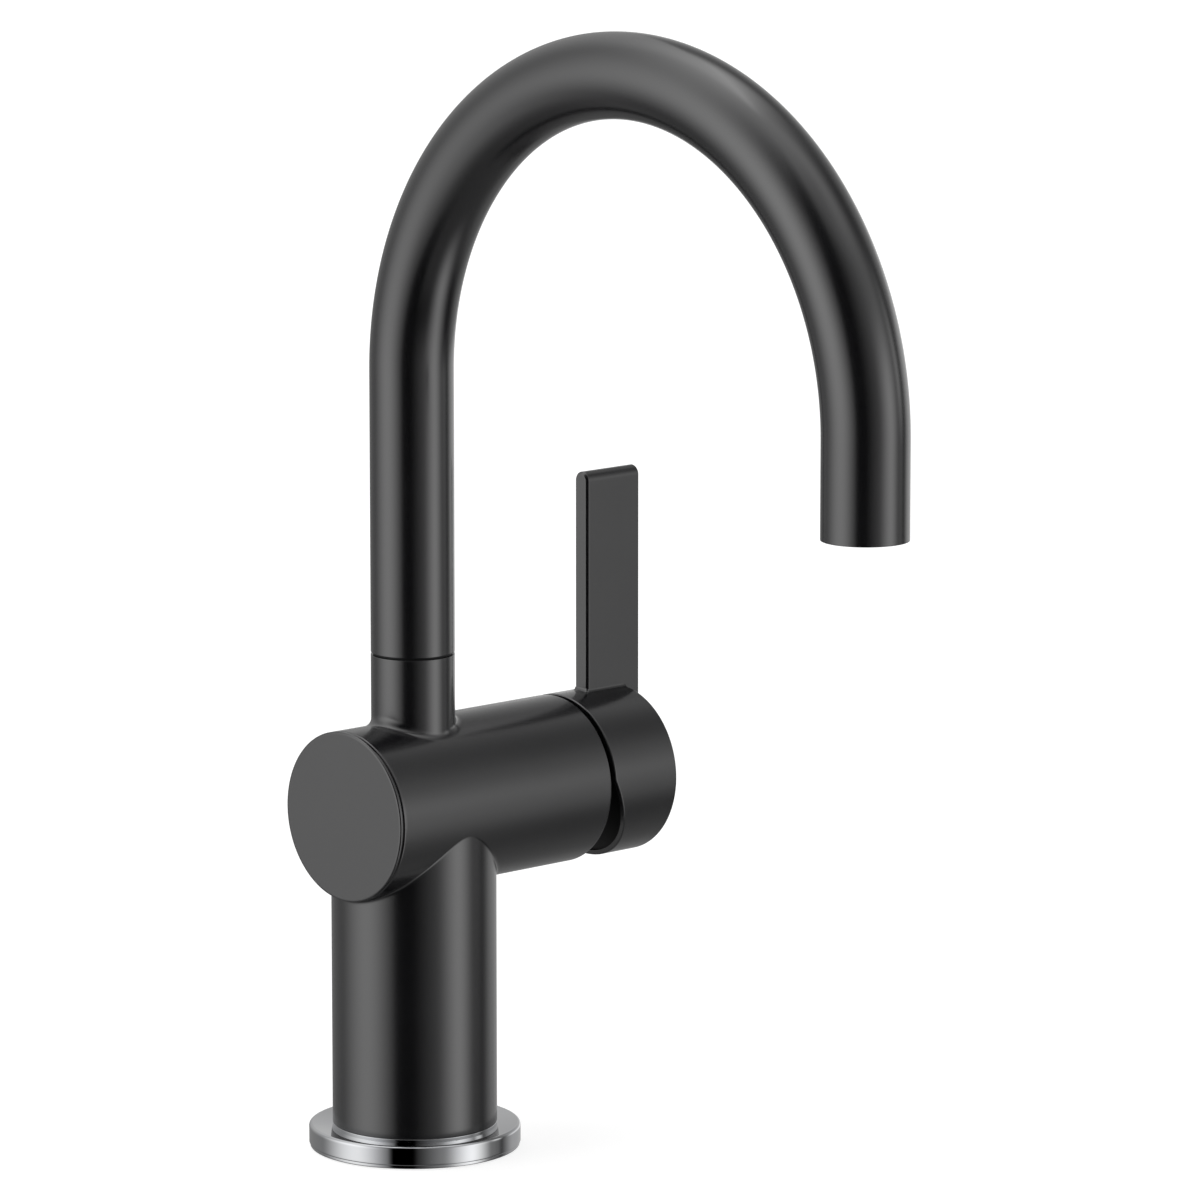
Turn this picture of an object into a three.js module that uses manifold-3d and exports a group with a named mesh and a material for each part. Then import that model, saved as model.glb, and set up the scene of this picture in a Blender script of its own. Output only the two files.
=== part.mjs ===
// A single-lever gooseneck bar tap, as the separate pieces that it comes apart into.
// Millimetres, +Z up. The origin is the centre of the foot, on the deck that the tap stands on.
// The spout reaches towards -Y and the lever is on the +X side.

import * as THREE from "three";
import { mergeVertices } from "three/addons/utils/BufferGeometryUtils.js";
import Module from "manifold-3d";

const wasm = await Module();
wasm.setup();

// ---------------------------------------------------------------- driving dimensions

// Spout: one tube that rises, turns over in a half circle and comes down to the outlet.
const tubeRadius = 11.25;
const tubeWall = 1.2;
const reach = 168.9; // from the foot's axis to the outlet's axis
const riserLength = 75.95; // straight tube from the swivel up to the half circle
const dropLength = 25.1; // straight tube from the half circle down to the outlet

// Body casting: an upright post, a valve barrel lying across it and a neck for the spout.
const valveRadius = 22.9;
const postStep = 0.7; // the post is this much slimmer than the barrel that lies across it
const postWall = 4.7;
const valveHeight = 93.5; // the valve barrel's axis above the deck
const leftOverhang = 1.55; // how far the barrel's capped end stands out past the post
const rightOverhang = 29.3; // the same at the lever's end
const valveEdge = 0.4; // chamfer on both ends of the barrel
const neckLength = 18.1; // from the top of the barrel to the swivel
const neckFillet = 2.5;
const postFillet = 1.5;
const chamberRoof = 31.5; // from the barrel's axis down to the roof of the hose chamber

// Foot: a bright ring with a soft gasket let into its underside.
const ringRadius = 28.6;
const ringHeight = 5.9;
const ringEdge = 0.8; // rounding of the ring's upper edge
const ringCollar = 0.6; // a low bright collar on the ring, flush with the post that stands on it
const ringBottomEdge = 0.4;
const gasketInner = 20;
const gasketOuter = 26.4;
const gasketThickness = 2;
const adapterWall = 4.6; // round the threaded shank that comes up through the deck
const shankAdapterTop = 20;

// End cap on the barrel's left end.
const capThickness = 1;
const capShadowGap = 0.35;
const capEdge = 0.5;
const capSeatWall = 4; // the barrel's wall round the cap's spigot
const capSpigotLength = 9;
const capWall = 2.4;
const capRingSection = 0.9; // radius of the rubber ring's section

// Cartridge: ceramic discs under a lever that turns for temperature and tilts for flow.
const cartridgeRadius = 17.2;
const cartridgeWall = 2;
const cartridgeDepth = 39.3; // from the barrel's mouth to the seat of the cartridge
const cartridgeBaseThickness = 3.6;
const fixedDiscThickness = 3.5;
const movingDiscThickness = 4;
const carrierThickness = 5.8;
const leverTail = 16; // from the pin to the ball that drives the moving disc
const tiltRange = 22; // degrees from shut to fully open
const portRadius = 2.6;
const outletPortRadius = 3.4;
const portSpread = 6.5; // the two inlet ports' distance from the middle
const portDrop = 4.5; // how far the inlet ports lie below the barrel's axis
const outletPortRise = 7;
const mixingChamberRadius = 6;
const mixingChamberDepth = 2;
const sealSection = 0.8;
const stemWidth = 7.4;
const stemNeckRadius = 2.1;
const stemBallRadius = 2.5;
const ballDepth = 1.85; // how deep the ball's middle sits in the carrier
const pinRadius = 1.5;
const guideRadius = 11;
const guideFlangeThickness = 4;
const guideFlangeRadius = 14.7;
const guideCheek = 4; // how far the guide reaches past the pin

// Nut and dome at the mouth of the barrel.
const mouthWall = 2.6; // the barrel's wall round the nut
const nutLength = 9.6;
const nutHexDepth = 4.8;
const nutHexStep = 5.4; // from the nut's outside to the corners of its hexagonal socket
const hubClearance = 2.2; // between the dome and the hub that swings over it
const domeWall = 1.6;
const domeLip = 0.3; // how far the dome's rim stands out of the barrel

// Lever: a hub over the dome, and a flat blade that stands up from it.
const hubGap = 1.8; // between the barrel's end and the hub's mouth
const hubLength = 22.5; // from the mouth to the bevel
const hubBevelLength = 5.6;
const hubBevelDrop = 6;
const hubWall = 1.3;
const mouthCutAngle = 22; // the mouth's lower half slants by the same angle as the lever tilts
const mouthCutStart = 2.4; // height above the barrel's axis
const bladeWidth = 19.8;
const bladeThickness = 5.1;
const bladeHeight = 83.4; // above the barrel's axis
const bladeEdge = 0.7;
const socketFloor = 5.6; // what is left of the hub's end behind the stem
const grubScrewRadius = 2.4;
const grubScrewDepth = 11; // how deep the screw's head lies in the hub
const grubScrewInset = 10.9; // from the hub's end
const hexKeyRadius = 1.4;
const hexKeyDepth = 4;

// Swivel: a sleeve fixed in the spout turns in the neck on two rubber rings.
const glideThickness = 0.5;
const glideInset = 0.5;
const sleeveWall = 2.4;
const neckBore = 8.9;
const neckBoreDepth = 24.5;
const sleeveSpigotLength = 22.5; // in the neck
const sleeveSocketLength = 14.7; // in the spout tube
const grooveDepth = 1.4;
const ringSection = 0.7;
const lowerRingDepth = 17.5; // below the top of the neck
const upperRingDepth = 11.5;
const ringGrooveWidth = 2;
const keeperDepth = 5; // the small screw that keeps the spout in the neck
const keeperRadius = 1.8;
const keeperKeyRadius = 0.9;
const keeperKeyDepth = 1.5;
const keeperGrooveDepth = 1;
const keeperGrooveWidth = 4.6;

// Outlet: a ferrule in the tube's end holds the aerator.
const ferruleWall = 0.9;
const ferruleRecess = 0.8;
const ferruleLength = 15;
const ferruleShoulder = 1.4;
const aeratorRecess = 1.2;
const aeratorLength = 9.4;
const aeratorWall = 1.2;
const aeratorLip = 1;
const screenThickness = 1.6;
const jetPlateThickness = 5;
const washerThickness = 1.6;
const screenHoleRadius = 0.9;
const screenHoleSpacing = 2.7;
const jetRadius = 0.8;
const jetCount = 8;
const jetOrbit = 3.4;

// Inlets: a fitting for each supply hose, pushed up into the casting.
const inletPlace = 4.5; // along the barrel's axis
const inletRadius = 4.5;
const inletSocketDepth = 14;
const inletCollarRadius = 5.9;
const inletCollarHeight = 5.6;
const inletShoulder = 2.8; // how far the fitting's thicker part reaches down into the collar
const inletTailRadius = 3.7;
const inletTailLength = 18;
const inletGrooveDepth = 1.1;
const inletRingSection = 0.6;
const inletRingDrop = 5;

// Clearances.
const fit = 0.3; // between a piece and the seat that is cut for it
const slip = 0.15; // between faces that slide or turn on each other
const overcut = 1; // how far a cutter runs past the face that it opens
const inset = 0.4; // how far a fillet's hidden side reaches into the casting

// Numbers of facets.
const fineSides = 48;
const tubeSides = 24;
const tubeBoreSides = 12;
const tubeSteps = 40;
const innerSides = 22;
const smallSides = 12;
const ringSides = 18;
const ringSectionSides = 5;
const filletSteps = 3;
const edgeSteps = 2;
const domeSteps = 4;
const domeSides = 28;

// ---------------------------------------------------------------- sizes worked out from these

const postRadius = valveRadius - postStep;
const valveLeft = -postRadius - leftOverhang; // the barrel's end under the cap
const valveRight = postRadius + rightOverhang; // the barrel's end at the lever's hub
const archRadius = reach / 2;
const tubeBore = tubeRadius - tubeWall;
const postBore = postRadius - postWall;
const shankBore = postBore - fit - adapterWall;
const postFoot = ringHeight + ringCollar;
const neckTop = valveHeight + valveRadius + neckLength;
const seam = neckTop + glideThickness + slip; // the lower end of the turning spout
const archHeight = seam + riserLength;
const outletHeight = archHeight - dropLength;
const insertRadius = tubeBore * Math.cos(Math.PI / tubeBoreSides) - slip; // what fits inside the tube's flats
const chamberTop = valveHeight - chamberRoof;
const inletSocketTop = chamberTop + inletSocketDepth;
const neckBoreBottom = neckTop - neckBoreDepth;
const lowerRingHeight = neckTop - lowerRingDepth;
const upperRingHeight = neckTop - upperRingDepth;
const keeperHeight = neckTop - keeperDepth;
const cartridgeFloor = valveRight - cartridgeDepth;
const cartridgeBore = cartridgeRadius + fit;
const nutBore = valveRadius - mouthWall;
const nutRadius = nutBore - fit;
const nutHexRadius = nutRadius - nutHexStep;
const capSpigotRadius = valveRadius - capSeatWall - fit;
const baseFront = cartridgeFloor + fit + cartridgeBaseThickness;
const fixedDiscBack = baseFront + slip;
const fixedDiscFront = fixedDiscBack + fixedDiscThickness;
const movingDiscBack = fixedDiscFront + slip;
const movingDiscFront = movingDiscBack + movingDiscThickness;
const carrierBack = movingDiscFront + slip;
const carrierFront = carrierBack + carrierThickness;
const ballPlace = carrierFront - ballDepth;
const leverPivot = ballPlace + leverTail; // the pin's place along the barrel
const guideTop = leverPivot + guideCheek;
const discTravel = leverTail * Math.sin(THREE.MathUtils.degToRad(tiltRange));
const discOffset = discTravel / 2; // the moving disc lies this far below the axis when shut
const housingBore = cartridgeRadius - cartridgeWall;
const fixedDiscRadius = housingBore - fit;
const movingDiscRadius = housingBore - fit - discOffset;
const guideBack = carrierFront + fit;
const guideShoulder = guideBack + guideFlangeThickness;
const housingShoulderFront = guideShoulder + fit + cartridgeWall;
const housingNeckRadius = guideRadius + fit + cartridgeWall;
const nutBack = housingShoulderFront + fit;
const nutFront = nutBack + nutLength;
const domeSkirtBack = nutFront + fit;
const hubBore = valveRadius - hubWall;
const domeRadius = hubBore - hubClearance;
const domeInner = domeRadius - domeWall;
const bladeFoot = valveRadius - hubBevelDrop; // the blade reaches down to the rim of the hub's flat end
const hubFloor = leverPivot + domeRadius + 2 * fit + slip;
const hubMouth = valveRight + hubGap;
const hubEdge = hubMouth + hubLength;
const hubEnd = hubEdge + hubBevelLength;
const stemReach = hubEnd - socketFloor - fit;
const grubScrewPlace = hubEnd - grubScrewInset;
const sleeveBore = neckBore - fit - sleeveWall;
const sleeveSpigotRadius = neckBore - fit;
const ferruleBore = insertRadius - ferruleWall;
const aeratorRadius = ferruleBore - fit;
const aeratorBore = aeratorRadius - aeratorWall;
const aeratorBottom = outletHeight + aeratorRecess;
const ferruleBottom = outletHeight + ferruleRecess;

// ---------------------------------------------------------------- finishes

function finish(color, roughness, metalness) {
  return new THREE.MeshStandardMaterial({ color, roughness, metalness });
}

const mattBlack = finish(0x2a2a2b, 0.45, 0.2);
const chrome = finish(0xc8cacc, 0.08, 1);
const brass = finish(0xb08d4a, 0.35, 1);
const stainless = finish(0xb4b6b8, 0.3, 1);
const rubber = finish(0x161616, 0.85, 0);
const acetal = finish(0xe4e2da, 0.5, 0);
const blackPlastic = finish(0x1c1c1d, 0.55, 0);
const greyPlastic = finish(0x8d9196, 0.5, 0);
const ceramic = finish(0xf1eee6, 0.2, 0);

// ---------------------------------------------------------------- making solids

// The closed solid of a geometry, without the triangles that shrink to a line at a pole.
function solidOf(geometry) {
  geometry.deleteAttribute("normal");
  geometry.deleteAttribute("uv");
  const merged = mergeVertices(geometry);
  const corners = merged.index.array;
  const kept = [];
  for (let first = 0; first < corners.length; first += 3) {
    const [a, b, c] = corners.slice(first, first + 3);
    if (a !== b && b !== c && c !== a) kept.push(a, b, c);
  }
  const vertProperties = merged.attributes.position.array;
  return new wasm.Manifold(new wasm.Mesh({ numProp: 3, vertProperties, triVerts: new Uint32Array(kept) }));
}

function geometryOf(solid) {
  const { vertProperties, triVerts } = solid.getMesh();
  const geometry = new THREE.BufferGeometry();
  geometry.setAttribute("position", new THREE.BufferAttribute(vertProperties, 3));
  geometry.setIndex(new THREE.BufferAttribute(triVerts, 1));
  return geometry;
}

function join(first, ...rest) {
  return rest.reduce((whole, next) => whole.add(solidOf(next)), solidOf(first));
}

function cut(whole, ...cutters) {
  return cutters.reduce((left, cutter) => left.subtract(solidOf(cutter)), whole);
}

// A piece turned about +Z from [radius, height] corners, listed anticlockwise.
function turned(corners, sides = innerSides) {
  const points = corners.map(([radius, height]) => new THREE.Vector2(radius, height));
  if (corners[0][0] > 0) points.push(points[0].clone());
  return new THREE.LatheGeometry(points, sides).rotateX(Math.PI / 2);
}

function rod(radius, low, high, sides = innerSides) {
  const upright = new THREE.CylinderGeometry(radius, radius, high - low, sides).rotateX(Math.PI / 2);
  return upright.translate(0, 0, (low + high) / 2);
}

function pipe(outer, inner, low, high, sides = innerSides) {
  return turned([[inner, low], [outer, low], [outer, high], [inner, high]], sides);
}

function block(sizeX, sizeY, low, high) {
  return new THREE.BoxGeometry(sizeX, sizeY, high - low).translate(0, 0, (low + high) / 2);
}

function rubberRing(radius, section, height) {
  return new THREE.TorusGeometry(radius, section, ringSectionSides, ringSides).translate(0, 0, height);
}

// Corners of a round edge, from one angle to another in degrees.
function roundEdge(centreRadius, centreHeight, radius, from, to, steps = edgeSteps) {
  return Array.from({ length: steps + 1 }, (_, step) => {
    const angle = THREE.MathUtils.degToRad(from + ((to - from) * step) / steps);
    return [centreRadius + radius * Math.cos(angle), centreHeight + radius * Math.sin(angle)];
  });
}

// Turns what is made along +Z to lie along the valve barrel, or along +Y.
const alongBarrel = (geometry) => geometry.rotateY(Math.PI / 2).translate(0, 0, valveHeight);
const alongY = (geometry) => geometry.rotateX(-Math.PI / 2);

// ---------------------------------------------------------------- body casting

// A fillet where an upright post of this radius runs into the valve barrel, above or below it.
// A ball of the fillet's radius rolls round the post and touches both: each section of the ring
// is the ball's arc between its two touching points, closed inside the casting.
function saddleFillet(radius, ballRadius, side) {
  const orbit = radius + ballRadius;
  const barrelShare = valveRadius / (valveRadius + ballRadius);
  const hiddenShare = (valveRadius - inset) / (valveRadius + ballRadius);
  const positions = [];
  for (let turn = 0; turn < fineSides; turn += 1) {
    const angle = (turn / fineSides) * 2 * Math.PI;
    const outward = new THREE.Vector3(Math.cos(angle), Math.sin(angle), 0);
    const rise = Math.sqrt((valveRadius + ballRadius) ** 2 - (orbit * outward.y) ** 2);
    const onBarrelAxis = new THREE.Vector3(orbit * outward.x, 0, valveHeight);
    const centre = new THREE.Vector3(orbit * outward.x, orbit * outward.y, valveHeight + side * rise);
    const onPost = outward.clone().multiplyScalar(radius).setZ(centre.z);
    const onBarrel = onBarrelAxis.clone().lerp(centre, barrelShare);
    const fromPost = onPost.clone().sub(centre).normalize();
    const fromBarrel = onBarrel.clone().sub(centre).normalize();
    const opening = fromPost.angleTo(fromBarrel);
    for (let step = 0; step <= filletSteps; step += 1) {
      const share = step / filletSteps;
      const arc = fromPost.clone().multiplyScalar(Math.sin((1 - share) * opening) / Math.sin(opening));
      arc.addScaledVector(fromBarrel, Math.sin(share * opening) / Math.sin(opening));
      positions.push(...centre.clone().addScaledVector(arc, ballRadius).toArray());
    }
    const hiddenBarrel = onBarrelAxis.clone().lerp(centre, hiddenShare);
    const hiddenPost = outward.clone().multiplyScalar(radius - inset).setZ(centre.z);
    const hiddenCorner = hiddenPost.clone().setZ(hiddenBarrel.z);
    positions.push(...hiddenBarrel.toArray(), ...hiddenCorner.toArray(), ...hiddenPost.toArray());
  }
  return ringOfSections(positions, positions.length / 3 / fineSides, side);
}

// Joins equal closed sections, set one after another round a ring, into one closed surface.
function ringOfSections(positions, perSection, side) {
  const count = positions.length / 3;
  const corners = [];
  for (let start = 0; start < count; start += perSection) {
    for (let place = 0; place < perSection; place += 1) {
      const here = start + place;
      const next = start + ((place + 1) % perSection);
      const overHere = (here + perSection) % count;
      const overNext = (next + perSection) % count;
      if (side > 0) corners.push(here, next, overHere, next, overNext, overHere);
      else corners.push(here, overHere, next, next, overHere, overNext);
    }
  }
  const geometry = new THREE.BufferGeometry();
  geometry.setAttribute("position", new THREE.Float32BufferAttribute(positions, 3));
  geometry.setIndex(corners);
  return geometry;
}

function faucetBody() {
  const barrelEnds = [
    [0, valveLeft],
    [valveRadius - valveEdge, valveLeft],
    [valveRadius, valveLeft + valveEdge],
    [valveRadius, valveRight - valveEdge],
    [valveRadius - valveEdge, valveRight],
    [0, valveRight],
  ];
  const outside = join(
    rod(postRadius, postFoot, valveHeight, fineSides),
    alongBarrel(turned(barrelEnds, fineSides)),
    rod(tubeRadius, valveHeight, neckTop, fineSides),
    saddleFillet(tubeRadius, neckFillet, 1),
    saddleFillet(postRadius, postFillet, -1),
  );
  const keeperHole = alongY(rod(keeperRadius + slip, neckBore - overcut, tubeRadius + overcut, smallSides));
  const hollow = cut(
    outside,
    rod(postBore, postFoot - overcut, chamberTop),
    alongBarrel(rod(cartridgeBore, cartridgeFloor, valveRight + overcut)),
    alongBarrel(rod(nutBore, nutBack - fit, valveRight + overcut)),
    alongBarrel(rod(capSpigotRadius + fit, valveLeft - overcut, valveLeft + capSpigotLength + fit)),
    rod(neckBore, neckBoreBottom, neckTop + overcut),
    rod(sleeveBore, valveHeight + outletPortRise, neckBoreBottom + overcut),
    alongBarrel(
      rod(outletPortRadius, 0, cartridgeFloor + overcut, smallSides).translate(-outletPortRise, 0, 0),
    ),
    keeperHole.translate(0, 0, keeperHeight),
  );
  return geometryOf(
    [-1, 1].reduce(
      (casting, side) =>
        cut(
          casting,
          alongBarrel(
            rod(portRadius, inletPlace - portRadius, cartridgeFloor + overcut, smallSides)
              .translate(portDrop, side * portSpread, 0),
          ),
          rod(portRadius, inletSocketTop - overcut, valveHeight - portDrop, smallSides)
            .translate(inletPlace, side * portSpread, 0),
          rod(inletRadius + fit, chamberTop - overcut, inletSocketTop)
            .translate(inletPlace, side * portSpread, 0),
        ),
      hollow,
    ),
  );
}

// ---------------------------------------------------------------- foot

function baseRing() {
  return turned(
    [
      [postBore, 0],
      [gasketInner - fit, 0],
      [gasketInner - fit, gasketThickness],
      [gasketOuter + fit, gasketThickness],
      [gasketOuter + fit, 0],
      [ringRadius - ringBottomEdge, 0],
      [ringRadius, ringBottomEdge],
      ...roundEdge(ringRadius - ringEdge, ringHeight - ringEdge, ringEdge, 0, 90),
      [postRadius, ringHeight],
      [postRadius, postFoot],
      [postBore, postFoot],
    ],
    fineSides,
  );
}

function shankAdapter() {
  return pipe(postBore - fit, shankBore, 0, shankAdapterTop);
}

// ---------------------------------------------------------------- barrel: cap, cartridge, nut and dome
// Everything from here to the lever is made along +Z and lies in a group turned along the barrel,
// so a piece's height is its place along the barrel, and its -X side is uppermost.

const capBack = valveLeft - capShadowGap; // the cap's flange stands off the barrel by a dark line
const capFace = capBack - capThickness;
const capGrooveBottom = capSpigotRadius - 2 * capRingSection;
const capGrooveMiddle = valveLeft + capSpigotLength / 2;
const capGrooveHalf = capRingSection + slip;

function endCap() {
  const spigotEnd = valveLeft + capSpigotLength;
  return turned(
    [
      [0, capFace],
      [valveRadius - capEdge, capFace],
      [valveRadius, capFace + capEdge],
      [valveRadius, capBack],
      [capSpigotRadius + capWall, capBack],
      [capSpigotRadius + capWall, valveLeft],
      [capSpigotRadius, valveLeft],
      [capSpigotRadius, capGrooveMiddle - capGrooveHalf],
      [capGrooveBottom, capGrooveMiddle - capGrooveHalf],
      [capGrooveBottom, capGrooveMiddle + capGrooveHalf],
      [capSpigotRadius, capGrooveMiddle + capGrooveHalf],
      [capSpigotRadius, spigotEnd],
      [capGrooveBottom - capWall, spigotEnd],
      [capGrooveBottom - capWall, capFace + capWall],
      [0, capFace + capWall],
    ],
    fineSides,
  );
}

function capRing() {
  return rubberRing(capGrooveBottom + slip + capRingSection, capRingSection, capGrooveMiddle);
}

// The three ports, as [across, up, radius] seen from the lever's side.
const ports = {
  hot: [-portSpread, -portDrop, portRadius],
  cold: [portSpread, -portDrop, portRadius],
  outlet: [0, outletPortRise, outletPortRadius],
};

function portHoles(low, high, extra = 0) {
  return Object.values(ports).map(([across, up, radius]) =>
    rod(radius + extra, low, high, ringSides).translate(-up, across, 0),
  );
}

const sealReach = 2 * (sealSection + slip); // how far a port's pocket widens to hold its seal

function cartridgeBase() {
  const back = cartridgeFloor + fit;
  const plate = solidOf(rod(cartridgeRadius, back, baseFront));
  const through = portHoles(back - overcut, baseFront + overcut);
  const pockets = portHoles(back - overcut, back + 2 * sealSection, sealReach);
  return geometryOf(cut(plate, ...through, ...pockets));
}

function portSeal([across, up, radius]) {
  const middle = radius + sealReach / 2;
  return rubberRing(middle, sealSection, cartridgeFloor + fit + sealSection - slip).translate(-up, across, 0);
}

function fixedDisc() {
  const disc = solidOf(rod(fixedDiscRadius, fixedDiscBack, fixedDiscFront));
  return geometryOf(cut(disc, ...portHoles(fixedDiscBack - overcut, fixedDiscFront + overcut)));
}

// The moving disc's chamber joins the ports that lie under it; its back face rides on the fixed disc.
function movingDisc() {
  const disc = solidOf(rod(movingDiscRadius, movingDiscBack, movingDiscFront));
  const chamber = rod(mixingChamberRadius, movingDiscBack - overcut, movingDiscBack + mixingChamberDepth);
  return geometryOf(cut(disc, chamber)).translate(discOffset, 0, 0);
}

const ballPocketRadius = stemBallRadius + fit;

function discCarrier() {
  const plate = solidOf(rod(movingDiscRadius, carrierBack, carrierFront).translate(discOffset, 0, 0));
  return geometryOf(cut(plate, rod(ballPocketRadius, ballPlace - ballPocketRadius, carrierFront + overcut)));
}

function cartridgeHousing() {
  return turned([
    [housingBore, baseFront],
    [cartridgeRadius, baseFront],
    [cartridgeRadius, housingShoulderFront],
    [housingNeckRadius, housingShoulderFront],
    [housingNeckRadius, nutFront],
    [guideRadius + fit, nutFront],
    [guideRadius + fit, guideShoulder + fit],
    [housingBore, guideShoulder + fit],
  ]);
}

// The guide turns in the housing for temperature, and carries the lever's pin.
function leverGuide() {
  const tilt = THREE.MathUtils.degToRad(tiltRange);
  const swing = Math.tan(tilt);
  const halfStem = stemWidth / 2;
  const pocketBottom = leverPivot - halfStem * Math.SQRT2 - fit;
  const pocketHalf = halfStem / Math.cos(tilt) + (guideTop - leverPivot) * swing + fit;
  const slotTop = (leverPivot - guideBack) * swing + stemNeckRadius + 2 * fit;
  const slotBottom = stemNeckRadius + fit;
  const slotLength = slotTop + slotBottom;
  const flangeAndTower = join(
    rod(guideFlangeRadius, guideBack, guideShoulder),
    rod(guideRadius, guideBack, guideTop),
  );
  return geometryOf(
    cut(
      flangeAndTower,
      block(2 * pocketHalf, stemWidth + 2 * fit, pocketBottom, guideTop + overcut),
      block(slotLength, 2 * (stemNeckRadius + fit), guideBack - overcut, pocketBottom + overcut)
        .translate(slotBottom - slotLength / 2, 0, 0),
      alongY(rod(pinRadius + slip, -guideRadius - overcut, guideRadius + overcut, smallSides))
        .translate(0, 0, leverPivot),
    ),
  );
}

function pivotPin() {
  const half = guideRadius - fit;
  return alongY(rod(pinRadius, -half, half, smallSides)).translate(0, 0, leverPivot);
}

function retainingNut() {
  const ring = solidOf(rod(nutRadius, nutBack, nutFront));
  return geometryOf(
    cut(
      ring,
      rod(housingNeckRadius + fit, nutBack - overcut, nutFront + overcut),
      rod(nutHexRadius + fit, nutFront - nutHexDepth, nutFront + overcut, 6),
    ),
  );
}

// The dome is part of a ball about the lever's pin, so the tilting hub keeps the same gap to it.
// Its opening clears the square stem's lowest corner at full tilt, whichever way the lever is turned.
function domeOpening() {
  const half = stemWidth / 2;
  const tilt = THREE.MathUtils.degToRad(tiltRange);
  const along = Math.sqrt(domeInner ** 2 - 2 * half ** 2);
  const low = along * Math.sin(tilt) + half * Math.cos(tilt);
  return THREE.MathUtils.radToDeg(Math.asin((Math.hypot(low, half) + 2 * fit) / domeInner));
}

function domeCorners(radius, from, to) {
  return roundEdge(0, leverPivot, radius, 90 - from, 90 - to, domeSteps);
}

function bonnet() {
  const rim = valveRight + domeLip;
  const shelf = rim - domeWall; // the underside of the step from the dome out to its skirt
  const angleAt = (place, radius) => THREE.MathUtils.radToDeg(Math.acos((place - leverPivot) / radius));
  const opening = domeOpening();
  return turned(
    [
      [domeInner, domeSkirtBack],
      [nutRadius, domeSkirtBack],
      [nutRadius, rim],
      ...domeCorners(domeRadius, angleAt(rim, domeRadius), opening),
      ...domeCorners(domeInner, opening, angleAt(shelf, domeInner)),
      [domeInner, shelf],
    ],
    domeSides,
  );
}

// ---------------------------------------------------------------- lever

function controlStem() {
  const square = block(stemWidth, stemWidth, leverPivot - stemWidth / 2, stemReach);
  const neck = rod(stemNeckRadius, ballPlace, leverPivot, smallSides);
  const ball = new THREE.SphereGeometry(stemBallRadius, smallSides, smallSides / 2);
  ball.translate(0, 0, ballPlace);
  const hole = alongY(rod(pinRadius + slip, -stemWidth, stemWidth, smallSides)).translate(0, 0, leverPivot);
  return geometryOf(cut(join(square, neck, ball), hole));
}

// The blade's outline across its thickness, with a half-round top; it is extruded along the barrel.
function blade() {
  const half = bladeThickness / 2 - bladeEdge;
  const top = bladeHeight - bladeThickness / 2;
  const outline = new THREE.Shape();
  outline.moveTo(half, bladeFoot);
  outline.lineTo(half, top);
  outline.absarc(0, top, half, 0, Math.PI, false);
  outline.lineTo(-half, bladeFoot);
  outline.closePath();
  const extruded = new THREE.ExtrudeGeometry(outline, {
    depth: bladeWidth - 2 * bladeEdge,
    curveSegments: 2 * filletSteps,
    bevelSize: bladeEdge,
    bevelThickness: bladeEdge,
    bevelSegments: edgeSteps,
  });
  // The outline's up is the group's -X, and its across is the group's Y.
  return extruded.rotateZ(Math.PI / 2).translate(0, 0, hubEnd - bladeWidth + bladeEdge);
}

// What the lower half of the hub's mouth loses, so that the lever can tilt away from the body.
function mouthCutter() {
  const size = 4 * valveRadius;
  return new THREE.BoxGeometry(size, size, size)
    .translate(size / 2, 0, -size / 2)
    .rotateY(-THREE.MathUtils.degToRad(mouthCutAngle))
    .translate(-mouthCutStart, 0, hubMouth);
}

function handle() {
  const hub = turned(
    [
      [0, hubMouth],
      [valveRadius, hubMouth],
      [valveRadius, hubEdge],
      [valveRadius - hubBevelDrop, hubEnd],
      [0, hubEnd],
    ],
    fineSides,
  );
  const socket = stemWidth + 2 * fit;
  return geometryOf(
    cut(
      join(hub, blade()),
      mouthCutter(),
      rod(hubBore, hubMouth - overcut, hubFloor, fineSides),
      block(socket, socket, hubFloor - overcut, stemReach + fit),
      grubScrewShape(grubScrewRadius + slip, valveRadius + overcut),
    ),
  );
}

// A rod that lies across the hub, from the stem's socket out through the underside.
function grubScrewShape(radius, outer) {
  const inner = stemWidth / 2 + slip;
  return rod(radius, inner, outer, smallSides).rotateY(Math.PI / 2).translate(0, 0, grubScrewPlace);
}

function grubScrew() {
  const end = valveRadius - grubScrewDepth;
  const key = rod(hexKeyRadius, end - hexKeyDepth, end + overcut, 6)
    .rotateY(Math.PI / 2)
    .translate(0, 0, grubScrewPlace);
  return geometryOf(cut(solidOf(grubScrewShape(grubScrewRadius, end)), key));
}

// ---------------------------------------------------------------- spout

// Up from the swivel, over in a half circle, and down to the outlet.
class Gooseneck extends THREE.Curve {
  constructor() {
    super();
    this.rise = archHeight - seam;
    this.arc = Math.PI * archRadius;
    this.drop = archHeight - outletHeight;
  }

  getPoint(share, target = new THREE.Vector3()) {
    const length = share * (this.rise + this.arc + this.drop);
    if (length <= this.rise) return target.set(0, 0, seam + length);
    const past = length - this.rise - this.arc;
    if (past >= 0) return target.set(0, -reach, archHeight - past);
    const angle = (length - this.rise) / archRadius;
    return target.set(0, archRadius * (Math.cos(angle) - 1), archHeight + archRadius * Math.sin(angle));
  }
}

function circlePoints(radius, sides) {
  return Array.from({ length: sides }, (_, side) => {
    const angle = (side / sides) * 2 * Math.PI;
    return new THREE.Vector2(radius * Math.cos(angle), radius * Math.sin(angle));
  });
}

function spoutTube() {
  const section = new THREE.Shape(circlePoints(tubeRadius, tubeSides));
  section.holes.push(new THREE.Path(circlePoints(tubeBore, tubeBoreSides)));
  return new THREE.ExtrudeGeometry(section, { steps: tubeSteps, extrudePath: new Gooseneck() });
}

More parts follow.
